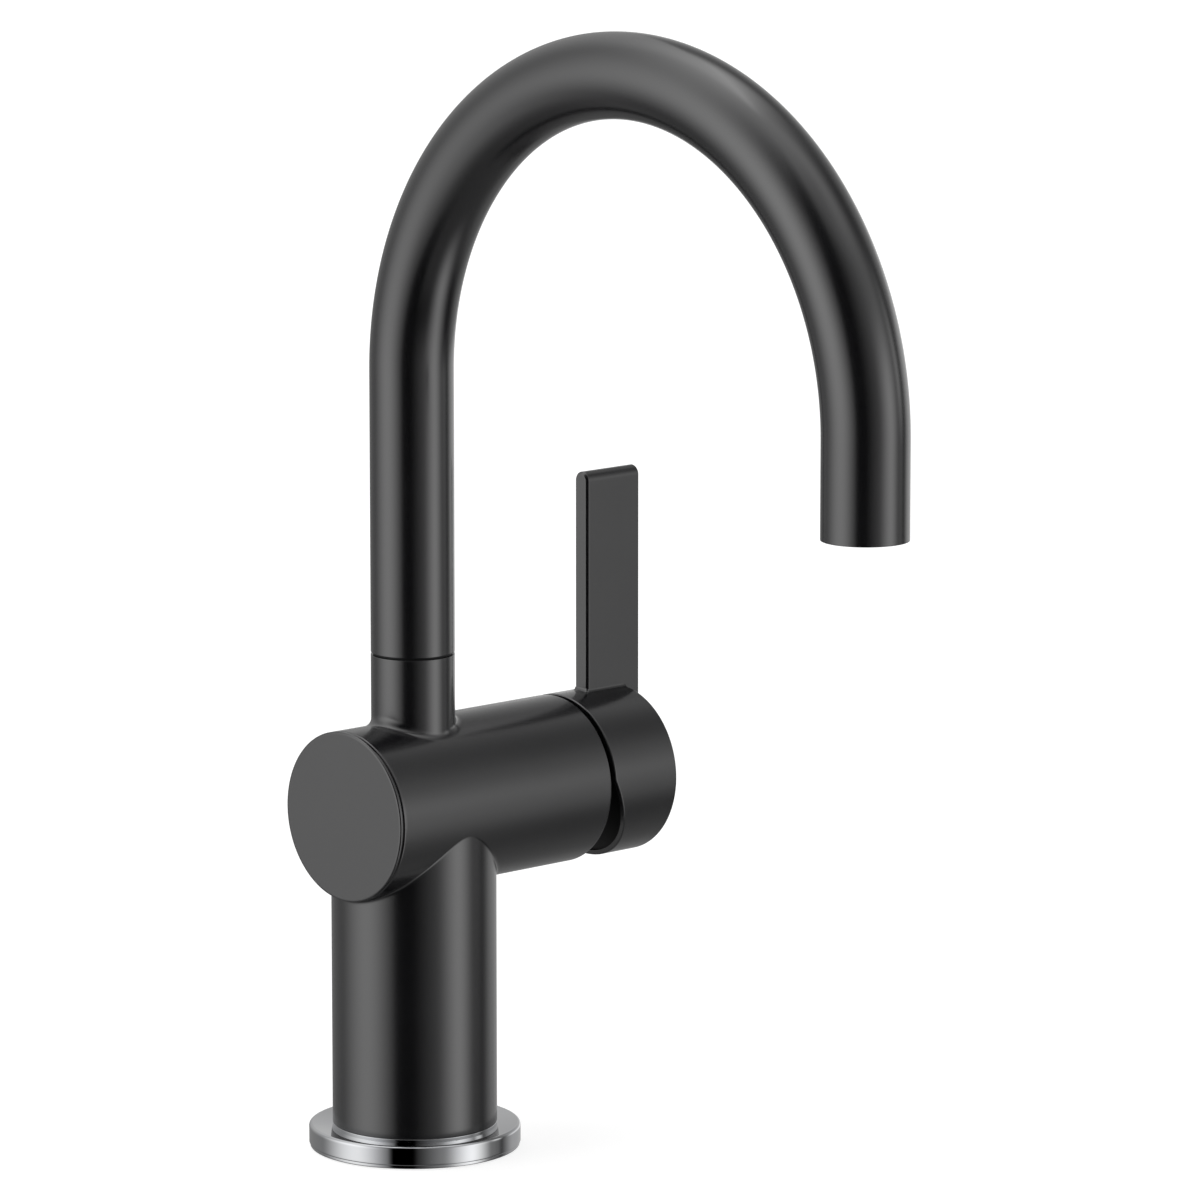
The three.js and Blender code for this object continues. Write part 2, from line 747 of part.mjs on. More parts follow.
function glideRing() {
  return pipe(tubeRadius - glideInset, neckBore, neckTop, neckTop + glideThickness);
}

function grooveCorners(radius, depth, middle, width) {
  return [
    [radius, middle - width / 2],
    [radius - depth, middle - width / 2],
    [radius - depth, middle + width / 2],
    [radius, middle + width / 2],
  ];
}

function swivelSleeve() {
  const bottom = neckTop - sleeveSpigotLength;
  const top = seam + sleeveSocketLength;
  return turned([
    [sleeveBore, bottom],
    [sleeveSpigotRadius, bottom],
    ...grooveCorners(sleeveSpigotRadius, grooveDepth, lowerRingHeight, ringGrooveWidth),
    ...grooveCorners(sleeveSpigotRadius, grooveDepth, upperRingHeight, ringGrooveWidth),
    ...grooveCorners(sleeveSpigotRadius, keeperGrooveDepth, keeperHeight, keeperGrooveWidth),
    [sleeveSpigotRadius, seam + slip],
    [insertRadius, seam + slip],
    [insertRadius, top],
    [sleeveBore, top],
  ]);
}

function swivelRing(height) {
  return rubberRing(sleeveSpigotRadius - grooveDepth + slip + ringSection, ringSection, height);
}

function keeperScrew() {
  const tip = sleeveSpigotRadius - keeperGrooveDepth + fit;
  const end = tubeRadius - slip;
  const key = alongY(rod(keeperKeyRadius, end - keeperKeyDepth, end + overcut, 6));
  return geometryOf(cut(solidOf(alongY(rod(keeperRadius, tip, end, smallSides))), key));
}

// ---------------------------------------------------------------- outlet

const washerTop = aeratorBottom + aeratorLength + washerThickness + fit;

function outletFerrule() {
  return turned([
    [ferruleBore, ferruleBottom],
    [insertRadius, ferruleBottom],
    [insertRadius, ferruleBottom + ferruleLength],
    [ferruleBore - ferruleShoulder, ferruleBottom + ferruleLength],
    [ferruleBore - ferruleShoulder, washerTop + slip],
    [ferruleBore, washerTop + slip],
  ]);
}

function aeratorHousing() {
  return turned([
    [aeratorBore - aeratorLip, aeratorBottom],
    [aeratorRadius, aeratorBottom],
    [aeratorRadius, aeratorBottom + aeratorLength],
    [aeratorBore, aeratorBottom + aeratorLength],
    [aeratorBore, aeratorBottom + aeratorLip],
    [aeratorBore - aeratorLip, aeratorBottom + aeratorLip],
  ]);
}

const screenBottom = aeratorBottom + aeratorLip;
const jetPlateBottom = screenBottom + screenThickness + slip;

function drilled(radius, bottom, top, places, holeRadius) {
  const hole = ([x, y]) => rod(holeRadius, bottom - overcut, top + overcut, 6).translate(x, y, 0);
  const holes = places.map(hole);
  return geometryOf(cut(solidOf(rod(radius, bottom, top, innerSides)), ...holes));
}

// Holes in rows at 60 degrees, as many as fit inside the lip's opening.
function screenPlaces() {
  const rowStep = screenHoleSpacing * Math.sin(Math.PI / 3);
  const open = aeratorBore - aeratorLip - screenHoleRadius;
  const rows = Math.floor(open / rowStep);
  const places = [];
  for (let row = -rows; row <= rows; row += 1) {
    const shift = row % 2 === 0 ? 0 : screenHoleSpacing / 2;
    for (let x = shift - screenHoleSpacing * rows; x <= screenHoleSpacing * rows; x += screenHoleSpacing) {
      if (Math.hypot(x, row * rowStep) < open) places.push([x, row * rowStep]);
    }
  }
  return places;
}

function aeratorScreen() {
  const top = screenBottom + screenThickness;
  return drilled(aeratorBore - fit, screenBottom, top, screenPlaces(), screenHoleRadius);
}

function jetPlate() {
  const jets = Array.from({ length: jetCount }, (_, jet) => {
    const angle = (jet / jetCount) * 2 * Math.PI;
    return [jetOrbit * Math.cos(angle), jetOrbit * Math.sin(angle)];
  });
  return drilled(aeratorBore - fit, jetPlateBottom, jetPlateBottom + jetPlateThickness, jets, jetRadius);
}

function aeratorWasher() {
  const bottom = aeratorBottom + aeratorLength + slip;
  return pipe(ferruleBore - fit, aeratorBore - aeratorLip, bottom, bottom + washerThickness);
}

// ---------------------------------------------------------------- inlets

const inletRingHeight = inletSocketTop - inletRingDrop;

function inletFitting() {
  const collarTop = chamberTop - slip;
  const tailBottom = chamberTop - inletTailLength;
  const body = turned(
    [
      [portRadius, tailBottom],
      [inletTailRadius, tailBottom],
      [inletTailRadius, collarTop - inletShoulder],
      [inletRadius, collarTop - inletShoulder],
      ...grooveCorners(inletRadius, inletGrooveDepth, inletRingHeight, 2 * (inletRingSection + slip)),
      [inletRadius, inletSocketTop - fit],
      [portRadius, inletSocketTop - fit],
    ],
    ringSides,
  );
  const collar = cut(
    solidOf(rod(inletCollarRadius, collarTop - inletCollarHeight, collarTop, 6)),
    rod(inletTailRadius - inset, collarTop - inletCollarHeight - overcut, collarTop + overcut, ringSides),
  );
  return geometryOf(solidOf(body).add(collar));
}

function inletRing() {
  const middle = inletRadius - inletGrooveDepth + slip + inletRingSection;
  return rubberRing(middle, inletRingSection, inletRingHeight);
}

// ---------------------------------------------------------------- assembly

function piece(name, geometry, material) {
  const mesh = new THREE.Mesh(geometry, material);
  mesh.name = name;
  return mesh;
}

const faucet = new THREE.Group();

faucet.add(
  piece("base_ring", baseRing(), chrome),
  piece("base_gasket", pipe(gasketOuter, gasketInner, 0, gasketThickness, fineSides), rubber),
  piece("shank_adapter", shankAdapter(), brass),
  piece("faucet_body", faucetBody(), mattBlack),
);

for (const [name, side] of [["hot", -1], ["cold", 1]]) {
  const inlet = new THREE.Group();
  inlet.position.set(inletPlace, side * portSpread, 0);
  inlet.add(piece(`${name}_inlet_fitting`, inletFitting(), brass));
  inlet.add(piece(`${name}_inlet_o_ring`, inletRing(), rubber));
  faucet.add(inlet);
}

const barrel = new THREE.Group();
barrel.position.z = valveHeight;
barrel.rotation.y = Math.PI / 2;
barrel.add(
  piece("end_cap", endCap(), mattBlack),
  piece("end_cap_o_ring", capRing(), rubber),
  piece("cartridge_base", cartridgeBase(), greyPlastic),
  piece("fixed_ceramic_disc", fixedDisc(), ceramic),
  piece("moving_ceramic_disc", movingDisc(), ceramic),
  piece("disc_carrier", discCarrier(), acetal),
  piece("cartridge_housing", cartridgeHousing(), greyPlastic),
  piece("lever_guide", leverGuide(), acetal),
  piece("lever_pivot_pin", pivotPin(), stainless),
  piece("retaining_nut", retainingNut(), brass),
  piece("bonnet", bonnet(), blackPlastic),
  piece("control_stem", controlStem(), brass),
  piece("handle", handle(), mattBlack),
  piece("handle_grub_screw", grubScrew(), stainless),
);
for (const [name, port] of Object.entries(ports)) {
  barrel.add(piece(`${name}_port_seal`, portSeal(port), rubber));
}
faucet.add(barrel);

const keeper = piece("spout_keeper_screw", keeperScrew(), stainless);
keeper.position.z = keeperHeight;
faucet.add(
  piece("swivel_glide_ring", glideRing(), blackPlastic),
  keeper,
);

const spout = new THREE.Group();
spout.add(
  piece("spout_tube", spoutTube(), mattBlack),
  piece("swivel_sleeve", swivelSleeve(), brass),
  piece("lower_swivel_o_ring", swivelRing(lowerRingHeight), rubber),
  piece("upper_swivel_o_ring", swivelRing(upperRingHeight), rubber),
);
const outlet = new THREE.Group();
outlet.position.y = -reach;
outlet.add(
  piece("outlet_ferrule", outletFerrule(), brass),
  piece("aerator_housing", aeratorHousing(), chrome),
  piece("aerator_screen", aeratorScreen(), acetal),
  piece("aerator_jet_plate", jetPlate(), blackPlastic),
  piece("aerator_washer", aeratorWasher(), rubber),
);
spout.add(outlet);
faucet.add(spout);

export default faucet;
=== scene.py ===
# %% [markdown]
# A gooseneck bar tap, dressed in Blender
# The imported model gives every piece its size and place. This lesson makes the finished surfaces that the eye sees:
# the casting with its soft joints, the bent tube, the lever, the bright foot ring and the outlet. Each surface is a
# formula on a grid of two parameters, worked out with numpy as whole arrays. The pieces deep inside keep the packed
# model's own shapes and only get a material.

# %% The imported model
from math import radians

import bmesh
import bpy
import numpy as np
from mathutils import Matrix


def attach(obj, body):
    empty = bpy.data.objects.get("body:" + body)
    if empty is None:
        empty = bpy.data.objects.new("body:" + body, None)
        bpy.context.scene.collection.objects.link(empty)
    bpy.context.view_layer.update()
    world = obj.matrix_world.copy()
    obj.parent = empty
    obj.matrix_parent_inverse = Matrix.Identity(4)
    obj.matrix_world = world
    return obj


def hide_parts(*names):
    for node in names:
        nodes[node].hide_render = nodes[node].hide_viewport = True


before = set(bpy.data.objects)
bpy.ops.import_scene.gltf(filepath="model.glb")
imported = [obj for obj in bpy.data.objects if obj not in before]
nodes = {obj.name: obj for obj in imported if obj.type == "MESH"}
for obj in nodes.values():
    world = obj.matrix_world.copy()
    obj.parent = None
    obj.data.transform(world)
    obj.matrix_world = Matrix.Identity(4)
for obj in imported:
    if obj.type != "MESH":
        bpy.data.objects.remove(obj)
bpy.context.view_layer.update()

# %% [markdown]
# Sizes
# All sizes are millimetres, as on a drawing, and become metres only when a mesh is made. The origin is the middle
# of the foot on the deck, Z points up, the spout reaches towards -Y and the lever is on the +X side.

# %% Sizes in millimetres
axis_height = 93.5  # of the valve barrel above the deck
barrel = 22.9  # radius
barrel_left, barrel_right = -23.75, 51.5
post = 22.2  # radius
post_foot = 6.5
chamber, chamber_top = 17.5, 62  # the hollow inside the post: its radius and its height above the deck
tube = 11.25  # outer radius of the neck and the spout
tube_bore = 10.05
neck_top = 134.6
keeper_height = 129.5  # the small screw at the back of the neck
hub_mouth, hub_edge, hub_end = 53.3, 75.8, 81.4  # places along the barrel
hub_bevel = 6.0  # how much smaller the radius of the hub's flat end is
hub_bore, hub_floor = 21.6, 64.15
tilt = 22.0  # degrees the lever leans out, and the slant of the hub's mouth
grub_place = 70.5  # the screw under the hub, along the barrel
lever_pin = 44.0  # the lever tilts about this place on the barrel's axis
blade_width, blade_half, blade_top = 19.8, 2.55, 83.4
reach = 168.9
seam, arch, outlet = 135.25, 211.1, 186.0
ring, ring_bore, ring_top = 28.6, 17.6, 6.2
print("barrel", barrel_right - barrel_left, "mm long, spout", reach, "mm out")

# %% [markdown]
# The camera
# The picture was taken from 43 degrees to the left of the front and 10 degrees above, about two metres away, with
# a long lens. A lens that long keeps the upright lines upright. The camera is given by the directions of its right,
# its up and its back, which are the columns of its matrix.

# %% Camera
lens = bpy.data.cameras.new("camera")
lens.lens = 219.735
lens.sensor_width = 36
lens.clip_end = 20
camera = bpy.data.objects.new("camera", lens)
bpy.context.scene.collection.objects.link(camera)
right, up, back = (0.72653, -0.68714, 0.0), (0.12012, 0.12700, 0.98460), (-0.67656, -0.71534, 0.17481)
camera.matrix_world = Matrix.Translation((-1.2852, -1.4316, 0.4905)) @ Matrix((right, up, back)).transposed().to_4x4()
bpy.context.scene.camera = camera
bpy.context.scene.view_settings.view_transform = "Standard"
print("camera at", [round(x, 3) for x in camera.location])

# %% [markdown]
# From a grid to a mesh
# A turned piece, a bent tube and a joint between two cylinders are all the same thing to a mesh: rows and columns
# of points, with a face between every four neighbours. One function numbers those faces. Another joins several
# grids into one piece, merges the points that two grids share, turns all faces outwards and marks sharp edges.

# %% Grids
def grid(points, round_rows=False, round_columns=False, opening=None):
    """Vertices and faces of a grid of points, shaped rows x columns x 3. The face at row i and column j has the
    corners (i, j), (i, j+1), (i+1, j+1), (i+1, j). A round direction joins its last line to its first. An opening
    (first row, last row, first column, last column) is left without faces."""
    rows, columns = points.shape[:2]
    i, j = np.meshgrid(np.arange(rows - (not round_rows)), np.arange(columns - (not round_columns)), indexing="ij")
    next_i, next_j = (i + 1) % rows, (j + 1) % columns
    corners = [i * columns + j, i * columns + next_j, next_i * columns + next_j, next_i * columns + j]
    low, high, left, right = opening or (0, 0, 0, 0)
    kept = ~((i >= low) & (i < high) & (j >= left) & (j < right))
    return points.reshape(-1, 3), np.stack(corners, -1)[kept]


def make_piece(name, grids, finish, body, stands_for=(), sharp=40, inside=None):
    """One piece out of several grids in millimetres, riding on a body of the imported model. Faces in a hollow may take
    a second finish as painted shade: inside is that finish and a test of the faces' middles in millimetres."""
    starts = np.cumsum([0] + [len(points) for points, _ in grids[:-1]])
    vertices = np.concatenate([points for points, _ in grids]) / 1000
    faces = np.concatenate([corners + start for (_, corners), start in zip(grids, starts)])
    mesh = bpy.data.meshes.new(name)
    mesh.from_pydata(vertices.tolist(), [], faces.tolist())
    work = bmesh.new()
    work.from_mesh(mesh)
    bmesh.ops.remove_doubles(work, verts=work.verts, dist=2e-6)
    bmesh.ops.dissolve_degenerate(work, edges=work.edges, dist=1e-7)
    bmesh.ops.recalc_face_normals(work, faces=work.faces)
    open_edges = sum(not edge.is_manifold for edge in work.edges)
    work.to_mesh(mesh)
    work.free()
    mesh.shade_smooth()
    mesh.set_sharp_from_angle(angle=radians(sharp))
    mesh.materials.append(finish)
    # The faces that pass the test take the second finish: painted shade.
    if inside:
        mesh.materials.append(inside[0])
        middles = np.empty(3 * len(mesh.polygons), np.float32)
        mesh.polygons.foreach_get("center", middles)
        mesh.polygons.foreach_set("material_index", inside[1](middles.reshape(-1, 3) * 1000).astype(np.int32))
    piece = bpy.data.objects.new(name, mesh)
    bpy.context.scene.collection.objects.link(piece)
    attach(piece, body)
    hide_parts(*(stands_for or [name]))
    print(f"{name}: {len(mesh.polygons)} faces, {open_edges} open edges")


# %% [markdown]
# Turned outlines
# Most pieces are turned on a lathe. Their outline is a list of corners, each with a small radius, because no real
# edge is perfectly sharp and that radius is what catches the light. A corner's arc touches both of its sides. One
# more point is put a little way along each side, so that the flat beside an arc stays flat to the eye.

# %% Outlines
def outline(*corners, steps=5, beside=0.3, closed=True):
    """A line with rounded corners. Each corner is (across, along, radius). The arc's middle lies on the line that
    halves the corner, at radius / sin(half the angle) from it, and the arc starts at radius / tan(half the angle)."""
    at = np.array([corner[:2] for corner in corners], float)
    radius = np.array([corner[2] if len(corner) > 2 else 0 for corner in corners], float)[:, None]
    back, on = np.roll(at, 1, 0) - at, np.roll(at, -1, 0) - at
    long_back, long_on = (np.linalg.norm(side, axis=1, keepdims=True) for side in (back, on))
    back, on = back / np.maximum(long_back, 1e-9), on / np.maximum(long_on, 1e-9)
    half = np.arccos(np.clip((back * on).sum(1, keepdims=True), -1, 1)) / 2
    half = np.clip(half, 0.05, np.pi / 2 - 1e-4)
    cut = radius / np.tan(half)
    middle = (back + on) / np.maximum(np.linalg.norm(back + on, axis=1, keepdims=True), 1e-9)
    centre = at + middle * radius / np.sin(half)
    first, last = at + back * cut - centre, at + on * cut - centre
    share = np.linspace(0, 1, steps + 1)[None, :, None]
    sweep = (np.pi - 2 * half)[:, :, None]
    arc = (np.sin((1 - share) * sweep) * first[:, None] + np.sin(share * sweep) * last[:, None]) / np.sin(sweep)
    arc = arc + centre[:, None]
    spare_back = np.minimum(beside, np.maximum(0, long_back / 2 - cut) / 2)
    spare_on = np.minimum(beside, np.maximum(0, long_on / 2 - cut) / 2)
    points = np.concatenate([(at + back * (cut + spare_back))[:, None], arc, (at + on * (cut + spare_on))[:, None]], 1)
    if closed:
        return points.reshape(-1, 2)
    return np.concatenate([at[:1], points[1:-1].reshape(-1, 2), at[-1:]])


def turned(line, turns=180):
    """A lathe: a point (across, along) goes round to (across cos t, across sin t, along)."""
    t = np.arange(turns) * 2 * np.pi / turns
    across, along = line[:, 0], line[:, 1]
    return np.stack([np.outer(np.cos(t), across), np.outer(np.sin(t), across), np.tile(along, (turns, 1))], -1)


def lathe(line, turns=180):
    """The turned points of a closed outline as a grid that is round both ways, like a ring."""
    return grid(turned(line, turns), round_rows=True, round_columns=True)


def lay(points):
    """The same piece lying along the barrel: its axis goes to +X and its own +X goes down."""
    return np.stack([points[..., 2], points[..., 1], axis_height - points[..., 0]], -1)


# %% [markdown]
# Drilled holes
# Two small screws sit in round walls: one at the back of the neck, one under the lever's hub. A hole in a round
# wall is a patch whose outer border is a rectangle of the wall's own grid and whose inner border is the hole.
# The points between them are shares of the way from one border to the other, so no boolean is needed.

# %% A hole in a round wall, and the screw in it
def drilled(radius, half_angle, low, high, columns, rows, hole, along, depth):
    """A patch of a round wall, and the blind hole in its middle. The wall's point at an angle and a height is
    (radius cos angle, radius sin angle, height) and the hole's axis is +X at the height along. A point of the
    hole at an angle w has y = hole cos w, height = along + hole sin w, and x = sqrt(radius^2 - y^2) on the wall."""
    wide, tall = np.linspace(-half_angle, half_angle, columns + 1), np.linspace(low, high, rows + 1)
    border = np.stack([np.concatenate([wide[:-1], np.full(rows, wide[-1]), wide[:0:-1], np.full(rows, wide[0])]),
                       np.concatenate([np.full(columns, low), tall[:-1], np.full(columns, high), tall[:0:-1]])])
    w = np.arctan2(border[1] - along, radius * border[0])
    rim = np.stack([np.arcsin((hole + 0.12) * np.cos(w) / radius), along + (hole + 0.12) * np.sin(w)])
    share = np.linspace(0, 1, 9)[:, None]
    angle, height = (near + (far - near) * share for near, far in zip(rim, border))
    skin = np.stack([radius * np.cos(angle), radius * np.sin(angle), height], -1)
    y, z = hole * np.cos(w), along + hole * np.sin(w)
    edge = np.stack([np.sqrt(radius ** 2 - y ** 2) - 0.12, y, z], -1)
    floor = np.stack([np.full(w.shape, depth), y, z], -1)
    middle = np.tile([depth, 0.0, along], (len(w), 1))
    return grid(skin, round_columns=True), grid(np.stack([skin[0], edge, floor, middle]), round_columns=True)


def socket_screw(radius, length, key, key_depth, turns=72):
    """A headless screw with a hexagonal socket. The socket's half width at an angle t is key cos 30 divided by
    the cosine of t folded into -30..30 degrees. The screw lies along +X, its socket at x = length."""
    t = np.arange(turns) * 2 * np.pi / turns
    six = key * np.cos(np.pi / 6) / np.cos((t % (np.pi / 3)) - np.pi / 6)
    side = outline((0, 0), (radius, 0, 0.25), (radius, length, 0.15), (key * 1.25, length), closed=False)
    across = np.concatenate([np.tile(side[:, :1], (1, turns)), (six * 1.04)[None], six[None], six[None],
                             np.zeros((1, turns))])
    along = np.concatenate([side[:, 1], [length, length - 0.1, length - key_depth, length - key_depth * 1.2]])
    return np.stack([np.tile(along[:, None], (1, turns)), across * np.cos(t), across * np.sin(t)], -1)


# %% [markdown]
# Colour and nodes
# Colours are written as the sRGB values that a painter would pick from a picture, and the shader wants them
# linear, so one function converts them. Another adds a node with its settings and its links, whatever its kind.

# %% Colour and nodes
def colour(code):
    """Linear colour of an sRGB code such as #1c1c1d: c/12.92 below 0.04045, else ((c + 0.055)/1.055)^2.4."""
    share = np.array([int(code[i:i + 2], 16) for i in (1, 3, 5)]) / 255
    return (*np.where(share <= 0.04045, share / 12.92, ((share + 0.055) / 1.055) ** 2.4).tolist(), 1.0)


def add(tree, kind, values=None, links=None, **settings):
    """Adds one node. values fills its inputs, links joins an input to another node's output."""
    node = tree.nodes.new("ShaderNode" + kind)
    for name, value in settings.items():
        setattr(node, name, value)
    for name, value in (values or {}).items():
        node.inputs[name].default_value = value
    for name, output in (links or {}).items():
        tree.links.new(output, node.inputs[name])
    return node


def new_material(name, slot):
    """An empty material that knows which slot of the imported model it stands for."""
    material = bpy.data.materials.new(name)
    material.use_nodes = True
    material.node_tree.nodes.clear()
    material["slot"] = slot
    return material, material.node_tree


def drift(tree, cloud, dark, light):
    """A colour that drifts between two close ones, because no real finish is the same all over."""
    shades = add(tree, "ValToRGB", links={"Fac": cloud.outputs["Fac"]})
    for stop, code, at in zip(shades.color_ramp.elements, (dark, light), (0.35, 0.65)):
        stop.color, stop.position = colour(code), at
    return shades


def close(tree, shader):
    """Leads the finished shader to the surface."""
    add(tree, "OutputMaterial", links={"Surface": shader.outputs[0]})


# %% [markdown]
# The black coat
# Every outside piece but the ring is covered with a thin hard black coat. It is darker than a paint and mirrors the
# lamps more strongly, softened by a texture far finer than a hair. So the base is nearly black, the index of
# refraction is high, and the shape is told by long soft reflections.

# %% Satin black coat
def satin_black():
    """A nearly black base under a clear mirror, its roughness drifting and its skin faintly pebbled."""
    material, tree = new_material("satin_black_coat", "matt_black")
    place = add(tree, "TexCoord")
    # The coat's orange peel is about 0.6 mm across and a few thousandths high: a hint in the reflections.
    peel = add(tree, "TexNoise", {"Scale": 1000 / 0.625, "Detail": 2.0}, {"Vector": place.outputs["Object"]})
    # Its gloss and its black drift in clouds 22 mm across, which keeps a flat face from looking drawn.
    cloud = add(tree, "TexNoise", {"Scale": 45.0, "Detail": 3.0}, {"Vector": place.outputs["Object"]})
    gloss = add(tree, "MapRange", {"To Min": 0.18, "To Max": 0.22}, {"Value": cloud.outputs["Fac"]})
    bump = add(tree, "Bump", {"Strength": 0.06, "Distance": 0.00004}, {"Height": peel.outputs["Fac"]})
    tint = drift(tree, cloud, "#171719", "#1a1a1c")
    shade = add(tree, "BsdfPrincipled", {"IOR": 1.92}, {"Base Color": tint.outputs["Color"],
                "Roughness": gloss.outputs["Result"], "Normal": bump.outputs["Normal"]})
    close(tree, shade)
    return material


black_coat = satin_black()
print("made", black_coat.name)

# %% [markdown]
# Chrome
# The foot ring is polished and chrome plated. Chrome mirrors a little more than half of the light, slightly cool,
# and polishing leaves it almost perfectly smooth.

# %% Polished chrome
def polished_chrome():
    """A metal of two close cool greys whose roughness hardly rises above nothing."""
    material, tree = new_material("polished_chrome", "chrome")
    place = add(tree, "TexCoord")
    # The last polish leaves a haze in patches about 8 mm across.
    haze = add(tree, "TexNoise", {"Scale": 120.0, "Detail": 4.0}, {"Vector": place.outputs["Object"]})
    gloss = add(tree, "MapRange", {"To Min": 0.03, "To Max": 0.06}, {"Value": haze.outputs["Fac"]})
    tint = drift(tree, haze, "#c2c3c6", "#c6c7c8")
    shade = add(tree, "BsdfPrincipled", {"Metallic": 1.0},
                {"Base Color": tint.outputs["Color"], "Roughness": gloss.outputs["Result"]})
    close(tree, shade)
    return material


chrome = polished_chrome()
print("made", chrome.name)


# %% [markdown]
# The casting
# The post, the barrel that lies across it and the neck are one casting. Where two cylinders meet, a ball rolled
# along the corner leaves the soft fillet of a real casting. The ball's middle keeps its distance from both
# axes, so its path is known exactly, and so are the two lines where it touches. A boolean and a bevel would give a
# similar joint with uneven faces, and uneven faces show in a glossy black. Here the barrel's skin is a grid that
# runs from the ball's touching line out to a straight border, so every reflection stays smooth.

# %% The joint of two cylinders
side = 60  # columns on each of the four sides of a patch
turn = np.radians(np.arange(4 * side) * 360 / (4 * side) - 45)


def patch_border(low_x, high_x, half_angle):
    """A rectangle walked once round, side by side: right, far, left, near."""
    share = np.arange(side) / side
    angle = np.concatenate([-1 + 2 * share, np.ones(side), 1 - 2 * share, -np.ones(side)]) * half_angle
    x = np.concatenate([np.full(side, high_x), high_x + (low_x - high_x) * share,
                        np.full(side, low_x), low_x + (high_x - low_x) * share])
    return x, angle


def on_barrel(x, angle, way=1):
    """A point on the barrel: the angle is measured from its top (way 1) or its underside (way -1)."""
    return np.stack([x, barrel * np.sin(angle), axis_height + way * barrel * np.cos(angle)], -1)


def rolled_ball(radius, ball, way):
    """Where a ball touches an upright cylinder and the barrel. Its middle is at radius + ball from the upright
    axis and at barrel + ball from the barrel's, so its height is sqrt((barrel + ball)^2 - y^2)."""
    out = radius + ball
    middle = np.stack([out * np.cos(turn), out * np.sin(turn),
                       axis_height + way * np.sqrt((barrel + ball) ** 2 - (out * np.sin(turn)) ** 2)], -1)
    hole_x, hole_angle = middle[:, 0], np.arcsin(middle[:, 1] / (barrel + ball))
    upright = np.stack([radius * np.cos(turn), radius * np.sin(turn), middle[:, 2]], -1)
    return middle, hole_x, hole_angle, upright


def joint(radius, ball, way, low_x, high_x, rows=22, steps=8):
    """The barrel's skin round the joint, the fillet, and the line where the upright cylinder starts."""
    middle, hole_x, hole_angle, upright = rolled_ball(radius, ball, way)
    border_x, border_angle = patch_border(low_x, high_x, np.pi / 2)
    share = (np.linspace(0, 1, rows) ** 1.4)[:, None]
    skin = on_barrel(hole_x + (border_x - hole_x) * share, hole_angle + (border_angle - hole_angle) * share, way)
    first, last = skin[0] - middle, upright - middle
    size = np.linalg.norm(last, axis=1, keepdims=True)
    angle = np.arccos(np.clip((first * last).sum(1, keepdims=True) / size ** 2, -1, 1))
    share = np.linspace(0, 1, steps + 1)[:, None, None]
    fillet = middle + (np.sin((1 - share) * angle) * first + np.sin(share * angle) * last) / np.sin(angle)
    return grid(skin, round_columns=True), grid(fillet, round_columns=True), upright


barrel_edge = 0.4  # the small round at the barrel's left end
patch_left, patch_right = barrel_left + barrel_edge, 25.0
post_ball = 1.5 - 0.5 * ((1 - np.cos(turn)) / 2) ** 4  # mm, smaller on the left, where the barrel soon ends
post_skin, post_fillet, post_line = joint(post, post_ball, -1, patch_left, patch_right)
neck_skin, neck_fillet, neck_line = joint(tube, 2.5, 1, patch_left, patch_right)
print("the post's fillet reaches", round(post_line[:, 2].min(), 1), "mm, the neck's", round(neck_line[:, 2].max(), 1))


# %% The casting's plain walls and bores
def upright_wall(top_line, radius, levels):
    """Rows of a round wall: the first follows a wavy line, the second lies just beside it, the rest are level."""
    step = np.sign(levels[0] - top_line[0, 2])
    rows = [top_line, top_line + np.array([0, 0, 0.3]) * step]
    rows += [np.stack([radius * np.cos(turn), radius * np.sin(turn), np.full(turn.shape, z)], -1) for z in levels]
    return np.stack(rows)


def ring_rows(line):
    """Rows of a turned surface with the same columns as the patches."""
    return np.stack([np.outer(line[:, 0], np.cos(turn)), np.outer(line[:, 0], np.sin(turn)),
                     np.tile(line[:, 1][:, None], (1, len(turn)))], -1)


band = 0.9  # the last level row of a wall lies this far from its end
post_line_down = outline((post, 40), (post, post_foot, 0.2), (chamber, post_foot, 0.2), (chamber, chamber_top, 0.5),
                         (0, chamber_top), closed=False)[1:]
post_wall = upright_wall(post_line, post, [post_foot + band])
post_inside = ring_rows(np.concatenate([[[post, post_foot + band]], post_line_down]))
neck_line_up = outline((tube, 125), (tube, neck_top, 0.1), (8.9, neck_top, 0.2), (8.9, 110), (6.2, 110), (6.2, 100.5),
                       (0, 100.5), beside=0.15, closed=False)[1:]
screw_low, screw_high, screw_rows, screw_columns = 126.4, 132.6, 14, 20
neck_wall = upright_wall(neck_line, tube, [*np.linspace(screw_low, screw_high, screw_rows + 1), neck_top - band])
neck_inside = ring_rows(np.concatenate([[[tube, neck_top - band]], neck_line_up]))
back_column = (90 + 45) * 4 * side // 360  # the neck's grid starts at -45 degrees and its back is at 90
screw_opening = (2, 2 + screw_rows, back_column - screw_columns // 2, back_column + screw_columns // 2)
screw_patch, screw_hole = drilled(tube, radians(15), screw_low, screw_high, screw_columns, screw_rows,
                                  1.95, keeper_height, 9.25)


def to_back(part):
    """A quarter turn about the upright axis, from +X to +Y."""
    points, faces = part
    return points @ np.array([[0, 1, 0], [-1, 0, 0], [0, 0, 1.0]]), faces


around = np.radians(np.arange(2 * side) * 180 / side)


def lying_rows(line):
    """Rows of a surface turned about the barrel's axis, starting from its top."""
    across, along = line[:, 0][:, None], line[:, 1][:, None]
    return np.stack([np.tile(along, (1, len(around))), across * np.sin(around),
                     axis_height + across * np.cos(around)], -1)


